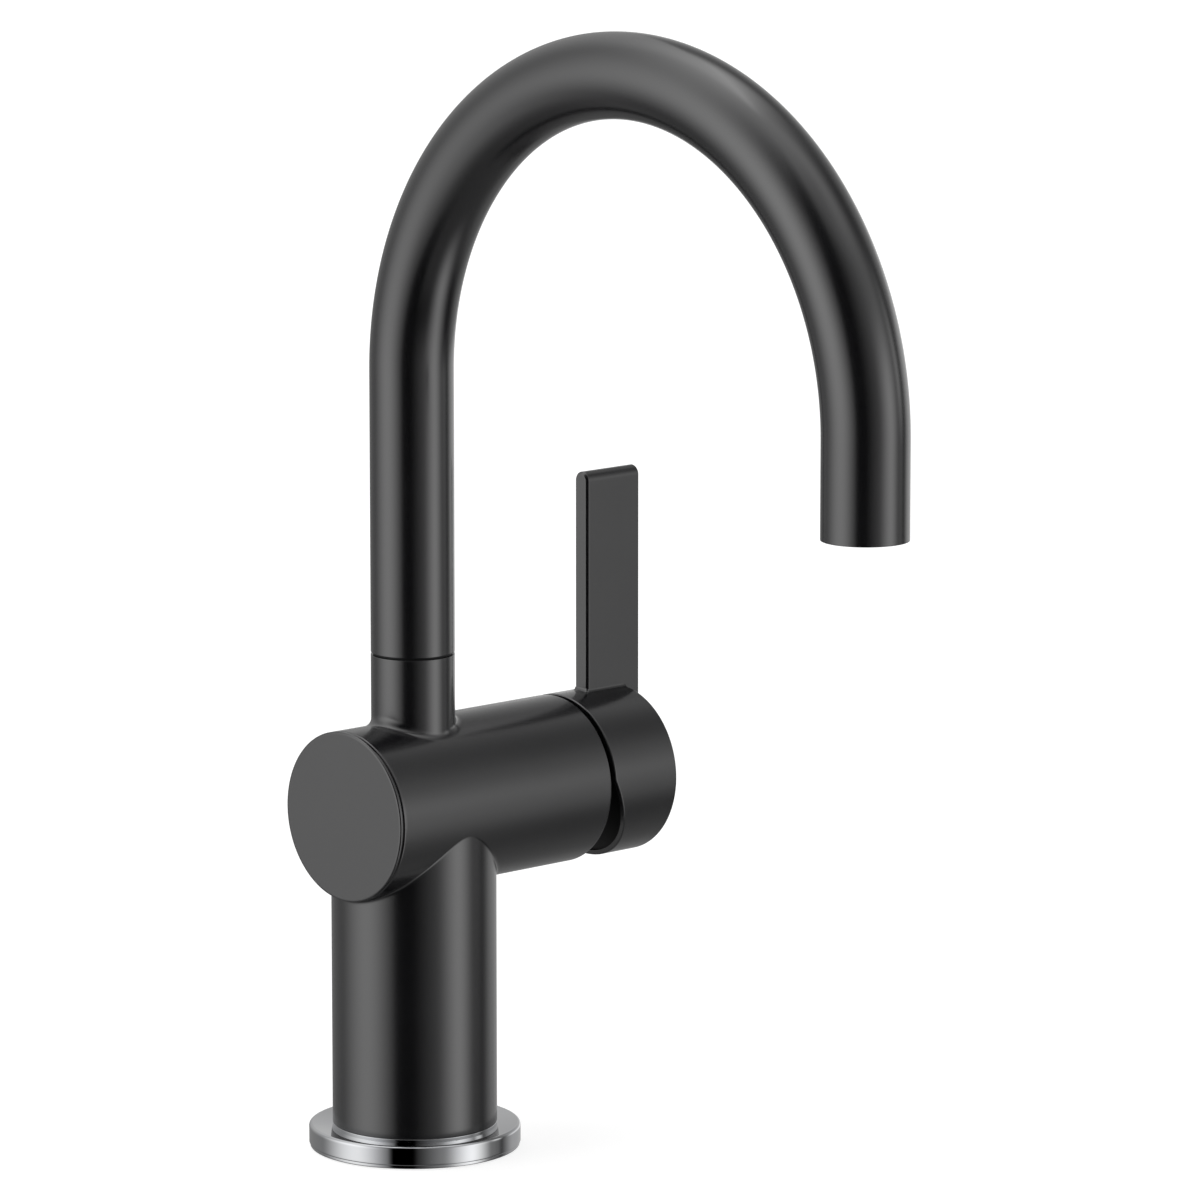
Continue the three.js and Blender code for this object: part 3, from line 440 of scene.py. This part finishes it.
left_end = outline((barrel, 0), (barrel, barrel_left, barrel_edge), (18.9, barrel_left, 0.3), (18.9, -14.45),
                   (0, -14.45), closed=False)[2:]
right_end = outline((barrel, 30), (barrel, barrel_right, 0.25), (20.3, barrel_right, 0.2), (20.3, 36.45),
                    (17.5, 36.45), (17.5, 12.2), (0, 12.2), closed=False)[1:]
barrel_rows = lying_rows(np.concatenate([[[barrel, patch_right]], right_end]))

make_piece("satin_casting", [
    post_skin, post_fillet, neck_skin, neck_fillet,
    grid(post_wall, round_columns=True), grid(post_inside, round_columns=True),
    grid(neck_wall, round_columns=True, opening=screw_opening), grid(neck_inside, round_columns=True),
    to_back(screw_patch), to_back(screw_hole),
    grid(lying_rows(left_end), round_columns=True), grid(barrel_rows, round_columns=True),
], black_coat, "root", ["faucet_body"])

# %% [markdown]
# The spout
# The spout is one tube: straight up, over in a half circle and straight down. A sweep carries a circle along that
# path. The path lies in one plane, so the circle never twists, and the grid is the outside, the two rounded ends
# and the inside in one loop.

# %% Spout tube
def gooseneck(length, rise, radius):
    """A point and the outward direction of the bend at a length along the path: a straight, then the half circle
    (radius (cos a - 1), radius sin a) with a = (length - rise) / radius, then a straight down."""
    angle = np.clip((length - rise) / radius, 0, np.pi)
    before, after = np.minimum(length - rise, 0), np.maximum(length - rise - np.pi * radius, 0)
    y = radius * (np.cos(angle) - 1)
    z = arch + radius * np.sin(angle) + before - after
    return y, z, angle


def swept_tube():
    """A circle of a radius r carried along the path: the point at an angle t has x = r cos t and lies r sin t
    along the bend's outward direction. The rows run up the outside, round one end and back down the bore."""
    rise, radius, drop = arch - seam, reach / 2, arch - outlet
    total = rise + np.pi * radius + drop
    end = outline((tube_bore, 0, 0.25), (tube, 0, 0.1), (tube, 8), (tube_bore, 8), steps=5, beside=0.15)
    corner = len(end) // 4  # points on each of the outline's four corners
    edge_in, edge_out = end[:corner][::-1], end[corner:2 * corner]
    run = np.concatenate([np.linspace(2, rise - 2, 8), np.linspace(rise, rise + np.pi * radius, 140),
                          np.linspace(rise + np.pi * radius + 2, total - 2, 6)])
    out_length = np.concatenate([edge_out[:, 1], run, total - edge_out[::-1, 1]])
    out_radius = np.concatenate([edge_out[:, 0], np.full(len(run), tube), edge_out[::-1, 0]])
    in_length = np.concatenate([edge_in[:, 1], run, total - edge_in[::-1, 1]])
    in_radius = np.concatenate([edge_in[:, 0], np.full(len(run), tube_bore), edge_in[::-1, 0]])
    length = np.concatenate([out_length, in_length[::-1]])[:, None]
    size = np.concatenate([out_radius, in_radius[::-1]])[:, None]
    y, z, angle = gooseneck(length, rise, radius)
    t = (np.arange(120) * 2 * np.pi / 120)[None, :]
    return np.stack([size * np.cos(t) * np.ones_like(length), y + size * np.sin(t) * np.cos(angle),
                     z + size * np.sin(t) * np.sin(angle)], -1)


make_piece("satin_spout", [grid(swept_tube(), round_rows=True, round_columns=True)], black_coat, "spout",
           ["spout_tube"])

# %% [markdown]
# The end cap
# The barrel's left end is closed by a flat cap. A thin groove stays open between the two, and the cap's edge is
# rounded just enough to draw a fine bright line round its face.

# %% End cap
cap_line = outline((0, -25.1), (barrel, -25.1, 0.5), (barrel, -24.1, 0.15), (21.0, -24.1), (21.0, -23.77, 0.1),
                   (18.6, -23.77), (18.6, -14.75, 0.5), (16.2, -14.75, 0.3), (16.2, -23.0, 0.8), (0, -23.0),
                   closed=False)
make_piece("satin_end_cap", [grid(lay(turned(cap_line)), round_rows=True)], black_coat, "root", ["end_cap"])

# %% [markdown]
# The foot ring
# The ring is the one bright piece. Its upper edge is rounded and a low collar meets the post. The top falls a little
# towards the collar, so that it mirrors the bright collar to the viewer instead of the black post above. A fine band
# at the bottom stands back a little, which draws the thin line above the deck.

# %% Foot ring
ring_line = outline((ring_bore, post_foot, 0.2), (post, post_foot, 0.15), (post, ring_top - 0.65),
                    (ring, ring_top, 0.8), (ring, 1.1, 0.35), (ring - 0.3, 0.9), (ring - 0.3, 0.0, 0.35),
                    (26.6, 0.0, 0.2), (26.6, 2.1), (19.8, 2.1), (19.8, 0.3), (ring_bore, 0.3), steps=7)
make_piece("bright_foot_ring", [lathe(ring_line, 240)], chrome, "root", ["base_ring"])

# %% [markdown]
# The lever's hub
# The hub is turned, and the lower half of its mouth is cut at a slant so that the lever can tilt. On a grid that
# slant is simple: the mouth's place depends on how low a point lies, and all the other rows stay turned. The wall
# round the mouth is only a little more than a millimetre thick, which leaves a dark hollow behind it.

# %% Hub
slant = np.tan(radians(tilt))
slant_top = 2.4  # the slant starts this high above the barrel's axis


def mouth(across, angle):
    """Where the hub starts: at its mouth, or further in by (slant_top - height) tan tilt below slant_top."""
    return hub_mouth + np.maximum(0, slant_top - across * np.cos(angle)) * slant


grub_half, grub_rows, grub_columns = 4, 14, 16  # the drilled patch: half its length, its rows and columns


def hub_rows(turns=240):
    """Rows from the socket's floor out round the lip and over the outside to the flat end. A row is either fixed
    at its place along the barrel, or moved there by the mouth's slant."""
    angle = np.arange(turns) * 2 * np.pi / turns
    lip = outline((hub_bore, 10), (hub_bore, 0, 0.12), (barrel, 0, 0.32), (barrel, 10), beside=0.15, closed=False)[1:-1]
    rear = outline((barrel, -10), (barrel, hub_edge, 0.5), (barrel - hub_bevel, hub_end, 0.4), (0, hub_end),
                   closed=False)[1:]
    screw_band = np.linspace(grub_place - grub_half, grub_place + grub_half, grub_rows + 1)
    inner = [0, hub_bore - 0.4, hub_bore]
    across = np.concatenate([inner, lip[:, 0], np.full(len(screw_band), barrel), rear[:, 0]])[:, None]
    fixed = np.concatenate([np.full(len(inner), hub_floor), 0 * lip[:, 0], screw_band, rear[:, 1]])[:, None]
    depth = np.concatenate([[0] * len(inner), lip[:, 1], 0 * screw_band, 0 * rear[:, 0]])[:, None]
    x = np.where(fixed == 0, mouth(across, angle) + depth, fixed)
    points = np.stack([x, across * np.sin(angle), axis_height + across * np.cos(angle)], -1)
    first = len(inner) + len(lip)
    return points, (first, first + grub_rows, (turns - grub_columns) // 2, (turns + grub_columns) // 2)


hub_points, grub_opening = hub_rows()
grub_patch, grub_hole = drilled(barrel, radians(12), grub_place - grub_half, grub_place + grub_half, grub_columns,
                                grub_rows, 2.55, grub_place, 11.2)
hub_parts = [grid(hub_points, round_columns=True, opening=grub_opening)]
hub_parts += [(lay(points), faces) for points, faces in (grub_patch, grub_hole)]
print("the hub's mouth reaches", round(float(mouth(barrel, np.pi)), 1), "mm along the barrel at its lowest")


# %% [markdown]
# The lever's blade
# The blade is a flat bar with a half-round top and a narrow bevel along both upright ends, sunk into the hub. Its
# outline is carried along the barrel's direction, and shrinks by the bevel at both ends. The bevel that faces the
# viewer mirrors the dark between the lamps and shows as one crisp black line, and its tiny round border as a
# bright one beside it. Rows close beside each border keep the flats flat to the eye.

# %% Blade
blade_edge = 0.6
blade_left = hub_end - blade_width


def blade_foot(x):
    """The lowest line of the blade, hidden in the hub's wall, and past the hub's edge inside its bevel."""
    return barrel - 0.6 - np.maximum(0, x - hub_edge) * (hub_bevel + 0.3) / (hub_end - hub_edge)


def blade_grid():
    """Rows along the barrel, each the bar's outline moved in by the bevel's depth there. The outline goes up the
    front, over a half circle of radius half - inset, and down the back."""
    bevel = outline((2.4, 0), (blade_edge, 0, 0.25), (0, blade_edge, 0.25), (0, 5), steps=5, beside=0.2, closed=False)
    inset = np.concatenate([bevel[:-1, 0], bevel[-2::-1, 0]])[:, None]
    x = np.concatenate([blade_left + bevel[:-1, 1], hub_end - bevel[-2::-1, 1]])[:, None]
    half = blade_half - inset
    bend, top = np.linspace(0, np.pi, 40), blade_top - blade_half
    rise = np.array([0, 0.3, 0.75, 0.99])
    low = blade_foot(x)
    y = np.concatenate([half + 0 * rise, half * np.cos(bend), -half + 0 * rise], 1)
    z = np.concatenate([low + (top - low) * rise, top + half * np.sin(bend), low + (top - low) * rise[::-1]], 1)
    rows = np.stack([x + 0 * y, y, axis_height + z], -1)
    ends = rows[[0, -1]] * [1, 0, 1]
    ends[..., 2] = np.minimum(ends[..., 2], axis_height + top)
    return grid(np.concatenate([ends[:1], rows, ends[1:]]), round_columns=True)


# %% [markdown]
# The blade's foot
# A tiny fillet runs round the blade where it stands on the hub, and stops at the hub's rear edge, where its end
# shows as a bright speck. It is again a rolled ball: its middle keeps one distance from the blade and the same
# distance from the hub, and each section is the ball's arc between the two places that it touches.

# %% Fillet round the blade's foot
def blade_fillet(ball=0.9, steps=8, round_edge=0.45):
    """Walks from the hub's rear edge along the front, round the left end and back. With P on the blade's outline
    and n its outward direction, the ball's middle is P + ball n, at a height of sqrt((barrel + ball)^2 - y^2)."""
    h, e, left = blade_half, round_edge, blade_left
    b = np.linspace(0, np.pi / 2, 10)
    x = np.concatenate([np.linspace(hub_edge - 0.1, left + e + 0.2, 12), left + e - e * np.sin(b), [left] * 5,
                        left + e - e * np.cos(b), np.linspace(left + e + 0.2, hub_edge - 0.1, 12)])
    y = np.concatenate([np.full(12, -h), -h + e - e * np.cos(b), np.linspace(-h + e, h - e, 7)[1:-1],
                        h - e + e * np.sin(b), np.full(12, h)])
    n = np.concatenate([np.tile([0, -1.0], (12, 1)), np.stack([-np.sin(b), -np.cos(b)], 1), np.tile([-1.0, 0], (5, 1)),
                        np.stack([-np.cos(b), np.sin(b)], 1), np.tile([0, 1.0], (12, 1))])
    out = np.stack([x, y], 1) + ball * n
    height = np.sqrt((barrel + ball) ** 2 - out[:, 1] ** 2)
    middle = np.column_stack([out, height])
    on_blade = np.column_stack([x, y, height])
    on_hub = middle * [1, barrel / (barrel + ball), barrel / (barrel + ball)]
    first, last = on_blade - middle, on_hub - middle
    angle = np.arccos((first * last).sum(1, keepdims=True) / ball ** 2)
    share = np.linspace(0, 1, steps + 1)[:, None, None]
    arc = middle + (np.sin((1 - share) * angle) * first + np.sin(share * angle) * last) / np.sin(angle)
    inside = np.stack([on_hub * [1, 0.985, 0.985], np.column_stack([x - 0.3 * n[:, 0], y - 0.3 * n[:, 1], height])])
    rows = np.concatenate([arc, inside]).transpose(1, 0, 2) + [0, 0, axis_height]
    ends = rows[[0, -1]] * 0 + rows[[0, -1]].mean(1, keepdims=True)
    return grid(np.concatenate([ends[:1], rows, ends[1:]]), round_columns=True)


handle_parts = [*hub_parts, blade_grid(), blade_fillet()]
print("the lever is worked out from", len(handle_parts), "grids")

# %% [markdown]
# Finishes of the small and inner pieces
# Each starts from what the real thing is made of and how its surface was made. They share one recipe: two close
# colours and a roughness that drift over the piece, and a fine grain or turning lines as bump, with every size in
# millimetres. The lines of a turning tool are about 0.1 mm apart and would not show, so they are drawn 0.5 mm apart.

# %% Finishes of the small pieces
def small_finish(name, slot, dark, light, gloss, grain_mm, depth_mm, lines_mm=0.0, **shader):
    """Two colours and two roughnesses mixed by a cloud 20 grains wide, with a grain or turning lines as bump. A
    texture scale is one over the size in metres, and a band repeats every 2 pi / (20 scale)."""
    material, tree = new_material(name, slot)
    place = add(tree, "TexCoord").outputs["Object"]
    cloud = add(tree, "TexNoise", {"Scale": 1000 / (20 * grain_mm), "Detail": 3.0}, {"Vector": place})
    shades = drift(tree, cloud, dark, light)
    rough = add(tree, "MapRange", {"To Min": gloss[0], "To Max": gloss[1]}, {"Value": cloud.outputs["Fac"]})
    if lines_mm:
        marks = add(tree, "TexWave", {"Scale": 2 * np.pi * 1000 / (20 * lines_mm), "Distortion": 0.6},
                    {"Vector": place}, bands_direction="Z")
    else:
        marks = add(tree, "TexNoise", {"Scale": 1000 / grain_mm, "Detail": 2.0}, {"Vector": place})
    bump = add(tree, "Bump", {"Strength": 0.3, "Distance": depth_mm / 1000}, {"Height": marks.outputs["Fac"]})
    shade = add(tree, "BsdfPrincipled", shader, {
        "Base Color": shades.outputs["Color"], "Roughness": rough.outputs["Result"], "Normal": bump.outputs["Normal"]})
    close(tree, shade)
    return material


finishes = {
    "matt_black": black_coat,
    "chrome": chrome,
    # Turned brass: warm yellow, softly blurred mirror with the tool's fine rings.
    "brass": small_finish("turned_brass", "brass", "#ab8643", "#bd9855", (0.24, 0.34), 0.8, 0.01, 0.5, Metallic=1.0),
    # Turned stainless steel: neutral grey, the same rings, a little brighter.
    "stainless": small_finish("turned_stainless", "stainless", "#a9aaac", "#babbbc", (0.22, 0.32), 0.8, 0.008, 0.5,
                              Metallic=1.0),
    # Moulded nitrile rubber: a dull black whose fine tooth blurs every light.
    "rubber": small_finish("nitrile_rubber", "rubber", "#161617", "#1e1e1e", (0.55, 0.7), 0.3, 0.02, IOR=1.52),
    # Moulded acetal: milky white and faintly waxy.
    "acetal": small_finish("moulded_acetal", "acetal", "#dfdcd1", "#e8e6de", (0.34, 0.44), 0.5, 0.005, IOR=1.48),
    # Dull black acetal with a spark-eroded face, for the glide ring and the dome. On the dome it is partly painted
    # shade, so the gap before it reads as a dark hollow, and in the hub's bore it is all painted shade.
    "black_plastic": small_finish("dull_black_acetal_and_painted_shade", "black_plastic", "#0a0a0b", "#101011", (0.5, 0.62), 0.3, 0.01,
                                  IOR=1.4),
    # Glass-filled plastic: mid grey with a fine speckle.
    "grey_plastic": small_finish("filled_plastic", "grey_plastic", "#84888c", "#94989c", (0.42, 0.52), 0.25, 0.01,
                                 IOR=1.5),
    # Lapped alumina: cream white, ground so flat that it mirrors a little.
    "ceramic": small_finish("lapped_alumina", "ceramic", "#e9e5da", "#f1eee6", (0.16, 0.24), 0.2, 0.002, IOR=1.76),
}
for name, node in nodes.items():
    packed = node.data.materials[0].name.split(".")[0]
    node.material_slots[0].material = finishes[packed]
print("finished", len(nodes), "packed nodes")

# %% [markdown]
# The lever, coated outside, with painted shade inside
# The faces whose middles lie inside the hub's bore get a second finish, a dull black that is painted shade: it keeps
# the hollow behind the hub's mouth dark.

# %% Lever
def painted_shade_in_bore(middles):
    """The faces that take the painted shade: nearer to the barrel's axis than the bore's wall, and in front of the
    bore's floor.
    """
    across = np.hypot(middles[:, 1], middles[:, 2] - axis_height)
    return (across < hub_bore + 0.02) & (middles[:, 0] < hub_floor + 0.02)


# The dull black inside the hub's bore is painted shade, not the coat's own colour.
make_piece("satin_handle", handle_parts, black_coat, "lever", ["handle"], sharp=30,
           inside=(finishes["black_plastic"], painted_shade_in_bore))

# %% [markdown]
# The dome in the barrel's mouth
# Behind the hub's mouth a dome covers the cartridge's nut. Its dull black is partly painted shade, which keeps the
# hollow dark. It is part of a ball about the place where the lever tilts, so that the hub keeps the same distance to
# it. Its outline is two arcs about that place.

# %% Dome
def dome_line(outer=19.4, wall=1.6, opening=38.5, points=26):
    """(R sin t, pin + R cos t) for the outside from the barrel's mouth to the opening, and back on the inside."""
    inner, rim = outer - wall, barrel_right + 0.3
    out = np.linspace(np.arccos((rim - lever_pin) / outer), radians(opening), points)
    back = np.linspace(radians(opening), np.arccos((rim - wall - lever_pin) / inner), points)
    skirt = outline((inner, rim - wall), (inner, 46.65, 0.2), (20.0, 46.65, 0.2), (20.0, rim, 0.2), (18.6, rim),
                    beside=0.1, closed=False)[1:-1]
    lips = [[(outer - 0.2) * np.sin(out[-1]) - 0.12, lever_pin + (outer - 0.2) * np.cos(out[-1])]]
    arcs = [np.stack([r * np.sin(t), lever_pin + r * np.cos(t)], 1) for r, t in ((outer, out), (inner, back))]
    return np.concatenate([arcs[0], lips, arcs[1], skirt])


points, faces = lathe(dome_line(), 144)
# The dome's dull black finish is partly painted shade.
make_piece("dull_dome", [(lay(points), faces)], finishes["black_plastic"], "root", ["bonnet"])

# %% [markdown]
# The swivel's line
# The spout turns on a thin ring of black acetal. From outside it is only a crisp dark line between two black
# tubes, a shade narrower than they are.

# %% Glide ring
glide_low, glide_high = neck_top + 0.02, seam - 0.1
glide_line = outline((9.1, glide_low, 0.05), (10.6, glide_low, 0.05), (10.6, glide_high, 0.05),
                     (9.1, glide_high, 0.05), steps=3, beside=0.1)
make_piece("glide_ring", [lathe(glide_line, 120)], finishes["black_plastic"], "root", ["swivel_glide_ring"])

# %% [markdown]
# Two small screws
# Each is a headless screw with a hexagonal socket. One keeps the spout in the neck, one holds the lever on its
# stem. They are turned along +X first and then swung to where they point.

# %% Screws
points, faces = grid(socket_screw(1.8, 3.2, 0.9, 1.5), round_columns=True)
place = points[:, [1, 0, 2]] * [-1, 1, 1] + [0, 7.9, keeper_height]
make_piece("keeper_screw", [(place, faces)], finishes["stainless"], "root", ["spout_keeper_screw"])
points, faces = grid(socket_screw(2.4, 8.05, 1.4, 4.0), round_columns=True)
place = np.stack([grub_place + points[:, 2], points[:, 1], 89.65 - points[:, 0]], 1)
make_piece("lever_screw", [(place, faces)], finishes["stainless"], "lever", ["handle_grub_screw"])

# %% [markdown]
# The outlet
# Looking up the spout's end one sees a plated ring, the aerator's lip and its fine screen. The ring and the lip
# are lathe work with small round edges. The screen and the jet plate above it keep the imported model's shape.

# %% Outlet ring and aerator lip
def at_outlet(line, turns=120):
    """A lathe about the outlet's upright axis, which is the reach in front of the foot's axis."""
    points, faces = lathe(line, turns)
    return points - [0, reach, 0], faces


ferrule_low, lip_low = outlet + 0.8, outlet + 1.2
ferrule = outline((9.56, ferrule_low, 0.25), (9.56, 201.8, 0.2), (7.26, 201.8, 0.2), (7.26, 200.4, 0.1),
                  (8.66, 200.4), (8.66, ferrule_low, 0.2), beside=0.2)
make_piece("outlet_ring", [at_outlet(ferrule)], finishes["brass"], "spout", ["outlet_ferrule"])
lip = outline((6.16, lip_low, 0.3), (8.36, lip_low, 0.35), (8.36, 196.6, 0.2), (7.16, 196.6, 0.2),
              (7.16, lip_low + 1), (6.16, lip_low + 1, 0.15), beside=0.2)
make_piece("aerator_lip", [at_outlet(lip)], chrome, "spout", ["aerator_housing"])

# %% [markdown]
# Light
# A black tap is lit by what it mirrors. The picture shows two tall soft boxes, left and right of the camera, a dark
# gap between them where the camera stands, a pale backdrop and a soft light overhead. The world is those lamps,
# each a direction and a width, so that they are as far away as lamps are.
#
# The camera sees that world as plain white. The metal and the coat see white too, but only where the backdrop of
# the picture is, in a strip behind the tap: with white all round them the undersides and rims would lose their dark
# lines. Everywhere else they mirror the studio, and the floor stays out of their reflections for the same reason.

# %% Studio world
def seen_directly(tree):
    """1 for a ray that comes straight from the camera or through glass, and the light path node itself."""
    path = add(tree, "LightPath")
    return add(tree, "Math", links={0: path.outputs["Is Camera Ray"], 1: path.outputs["Is Transmission Ray"]},
               operation="MAXIMUM"), path


world = bpy.data.worlds.new("studio")
world.use_nodes = True
bpy.context.scene.world = world
tree = world.node_tree
tree.nodes.clear()

look = add(tree, "TexCoord")
camera_side = 228.08  # degrees round from +X to the camera's direction, so that angle 0 is the camera
turned_look = add(tree, "Mapping", {"Rotation": (0, 0, radians(-camera_side))}, {"Vector": look.outputs["Generated"]},
                  vector_type="POINT")
parts = add(tree, "SeparateXYZ", links={"Vector": turned_look.outputs["Vector"]})
around_angle = add(tree, "Math", links={0: parts.outputs["Y"], 1: parts.outputs["X"]}, operation="ARCTAN2")
above_angle = add(tree, "Math", links={0: parts.outputs["Z"]}, operation="ARCSINE")


def window(value, low, high, soft):
    """1 between two angles and 0 outside, with soft borders of a given width."""
    rise = add(tree, "MapRange", {"From Min": radians(low - soft), "From Max": radians(low + soft)},
               {"Value": value.outputs[0]}, interpolation_type="SMOOTHSTEP")
    fall = add(tree, "MapRange", {"From Min": radians(high - soft), "From Max": radians(high + soft),
                                  "To Min": 1.0, "To Max": 0.0}, {"Value": value.outputs[0]},
               interpolation_type="SMOOTHSTEP")
    return add(tree, "Math", links={0: rise.outputs["Result"], 1: fall.outputs["Result"]}, operation="MULTIPLY")


def lamp(low, high, soft, bottom, top, fade, strength):
    """A soft box between two angles round the camera's direction and two heights, all in degrees. An angle past
    180 leaves that side open."""
    wide, tall = window(around_angle, low, high, soft), window(above_angle, bottom, top, fade)
    both = add(tree, "Math", links={0: wide.outputs[0], 1: tall.outputs[0]}, operation="MULTIPLY")
    return add(tree, "Math", {1: strength}, {0: both.outputs[0]}, operation="MULTIPLY")


lamps = [
    lamp(-96, -41, 26, -31, 31, 39, 1.65),  # left soft box
    lamp(-106, -62, 29, 15, 75, 35, 0.8),  # its upper part, leaning back
    lamp(50, 81, 20, -51, 16, 14, 1.4),  # right soft box
    lamp(20, 70, 27, -23, 56, 10, 0.4),  # its spill towards the camera
    lamp(60, 98, 25, 10, 67, 23, 0.55),  # its upper part
    lamp(93, 106, 5, -6, 16, 17, 1.15),  # narrow strip lamp beside it
    lamp(-400, 400, 1, 60, 400, 25, 1.05),  # overhead light
    lamp(-400, -133, 44, 36, 400, 44, 0.8),  # its rear half, left
    lamp(156, 400, 32, 50, 400, 11, 1.6),  # its rear half, right
    lamp(-400, -96, 22, -22, 89, 36, 0.4),  # backdrop, left
    lamp(118, 400, 17, -25, 31, 38, 0.7),  # backdrop, right
    lamp(122, 400, 8, -11.5, 6, 1.5, 0.4),  # a pale panel behind, right, that only the spout and neck see
    lamp(-400, 400, 1, -400, -34, 8, 0.16),  # light that comes back from the floor
]
total = add(tree, "Value")
total.outputs[0].default_value = 0.003  # what the dark room still gives
for one in lamps:
    total = add(tree, "Math", links={0: total.outputs[0], 1: one.outputs[0]}, operation="ADD")
card = lamp(-27, 0, 4, -55, 55, 22, -1)  # a black card in front, beside the camera
left_over = add(tree, "Math", {1: 1.0}, {0: card.outputs[0]}, operation="ADD")
total = add(tree, "Math", links={0: total.outputs[0], 1: left_over.outputs[0]}, operation="MULTIPLY")

# White for the camera, and for mirrored rays that leave through the strip behind the tap.
clear, path = seen_directly(tree)
sides = window(around_angle, -172, 172, 4)
level = window(above_angle, -18, -2, 3)
behind = add(tree, "Math", {0: 1.0}, {1: sides.outputs[0]}, operation="SUBTRACT")
behind = add(tree, "Math", links={0: behind.outputs[0], 1: level.outputs[0]}, operation="MULTIPLY")
mirrored = add(tree, "Math", links={0: path.outputs["Is Glossy Ray"], 1: behind.outputs[0]}, operation="MULTIPLY")
seen = add(tree, "Math", links={0: clear.outputs[0], 1: mirrored.outputs[0]}, operation="MAXIMUM")
studio = add(tree, "Background", {"Color": (1, 1, 1, 1)}, {"Strength": total.outputs[0]})
white = add(tree, "Background", {"Color": (1, 1, 1, 1), "Strength": 1.0})
mixed = add(tree, "MixShader", links={0: seen.outputs[0], 1: studio.outputs[0], 2: white.outputs[0]})
add(tree, "OutputWorld", links={"Surface": mixed.outputs[0]})
world.cycles.sampling_method = "NONE"
print("studio with", len(lamps), "lamps")

# %% [markdown]
# Floor
# A plain pale floor carries the tap and takes its soft shadow. The camera sees it white where nothing shades it.

# %% Floor
floor_mesh = bpy.data.meshes.new("floor")
wide, down = 6, -0.0002  # metres; the floor lies a hair under the foot
floor_mesh.from_pydata([(-wide, -wide, down), (wide, -wide, down), (wide, wide, down), (-wide, wide, down)], [],
                       [(0, 1, 2, 3)])
floor = bpy.data.objects.new("floor", floor_mesh)
bpy.context.scene.collection.objects.link(floor)
pale, tree = new_material("pale_floor", "stage")
matt = add(tree, "BsdfDiffuse", {"Color": colour("#bdbdbd")})
glow_share, _ = seen_directly(tree)
glow_strength = add(tree, "Math", {1: 0.75}, {0: glow_share.outputs[0]}, operation="MULTIPLY")
glow = add(tree, "Emission", {"Color": (1, 1, 1, 1)}, {"Strength": glow_strength.outputs[0]})
both = add(tree, "AddShader", links={0: matt.outputs[0], 1: glow.outputs[0]})
close(tree, both)
floor_mesh.materials.append(pale)
floor.visible_glossy = False
print("floor laid")
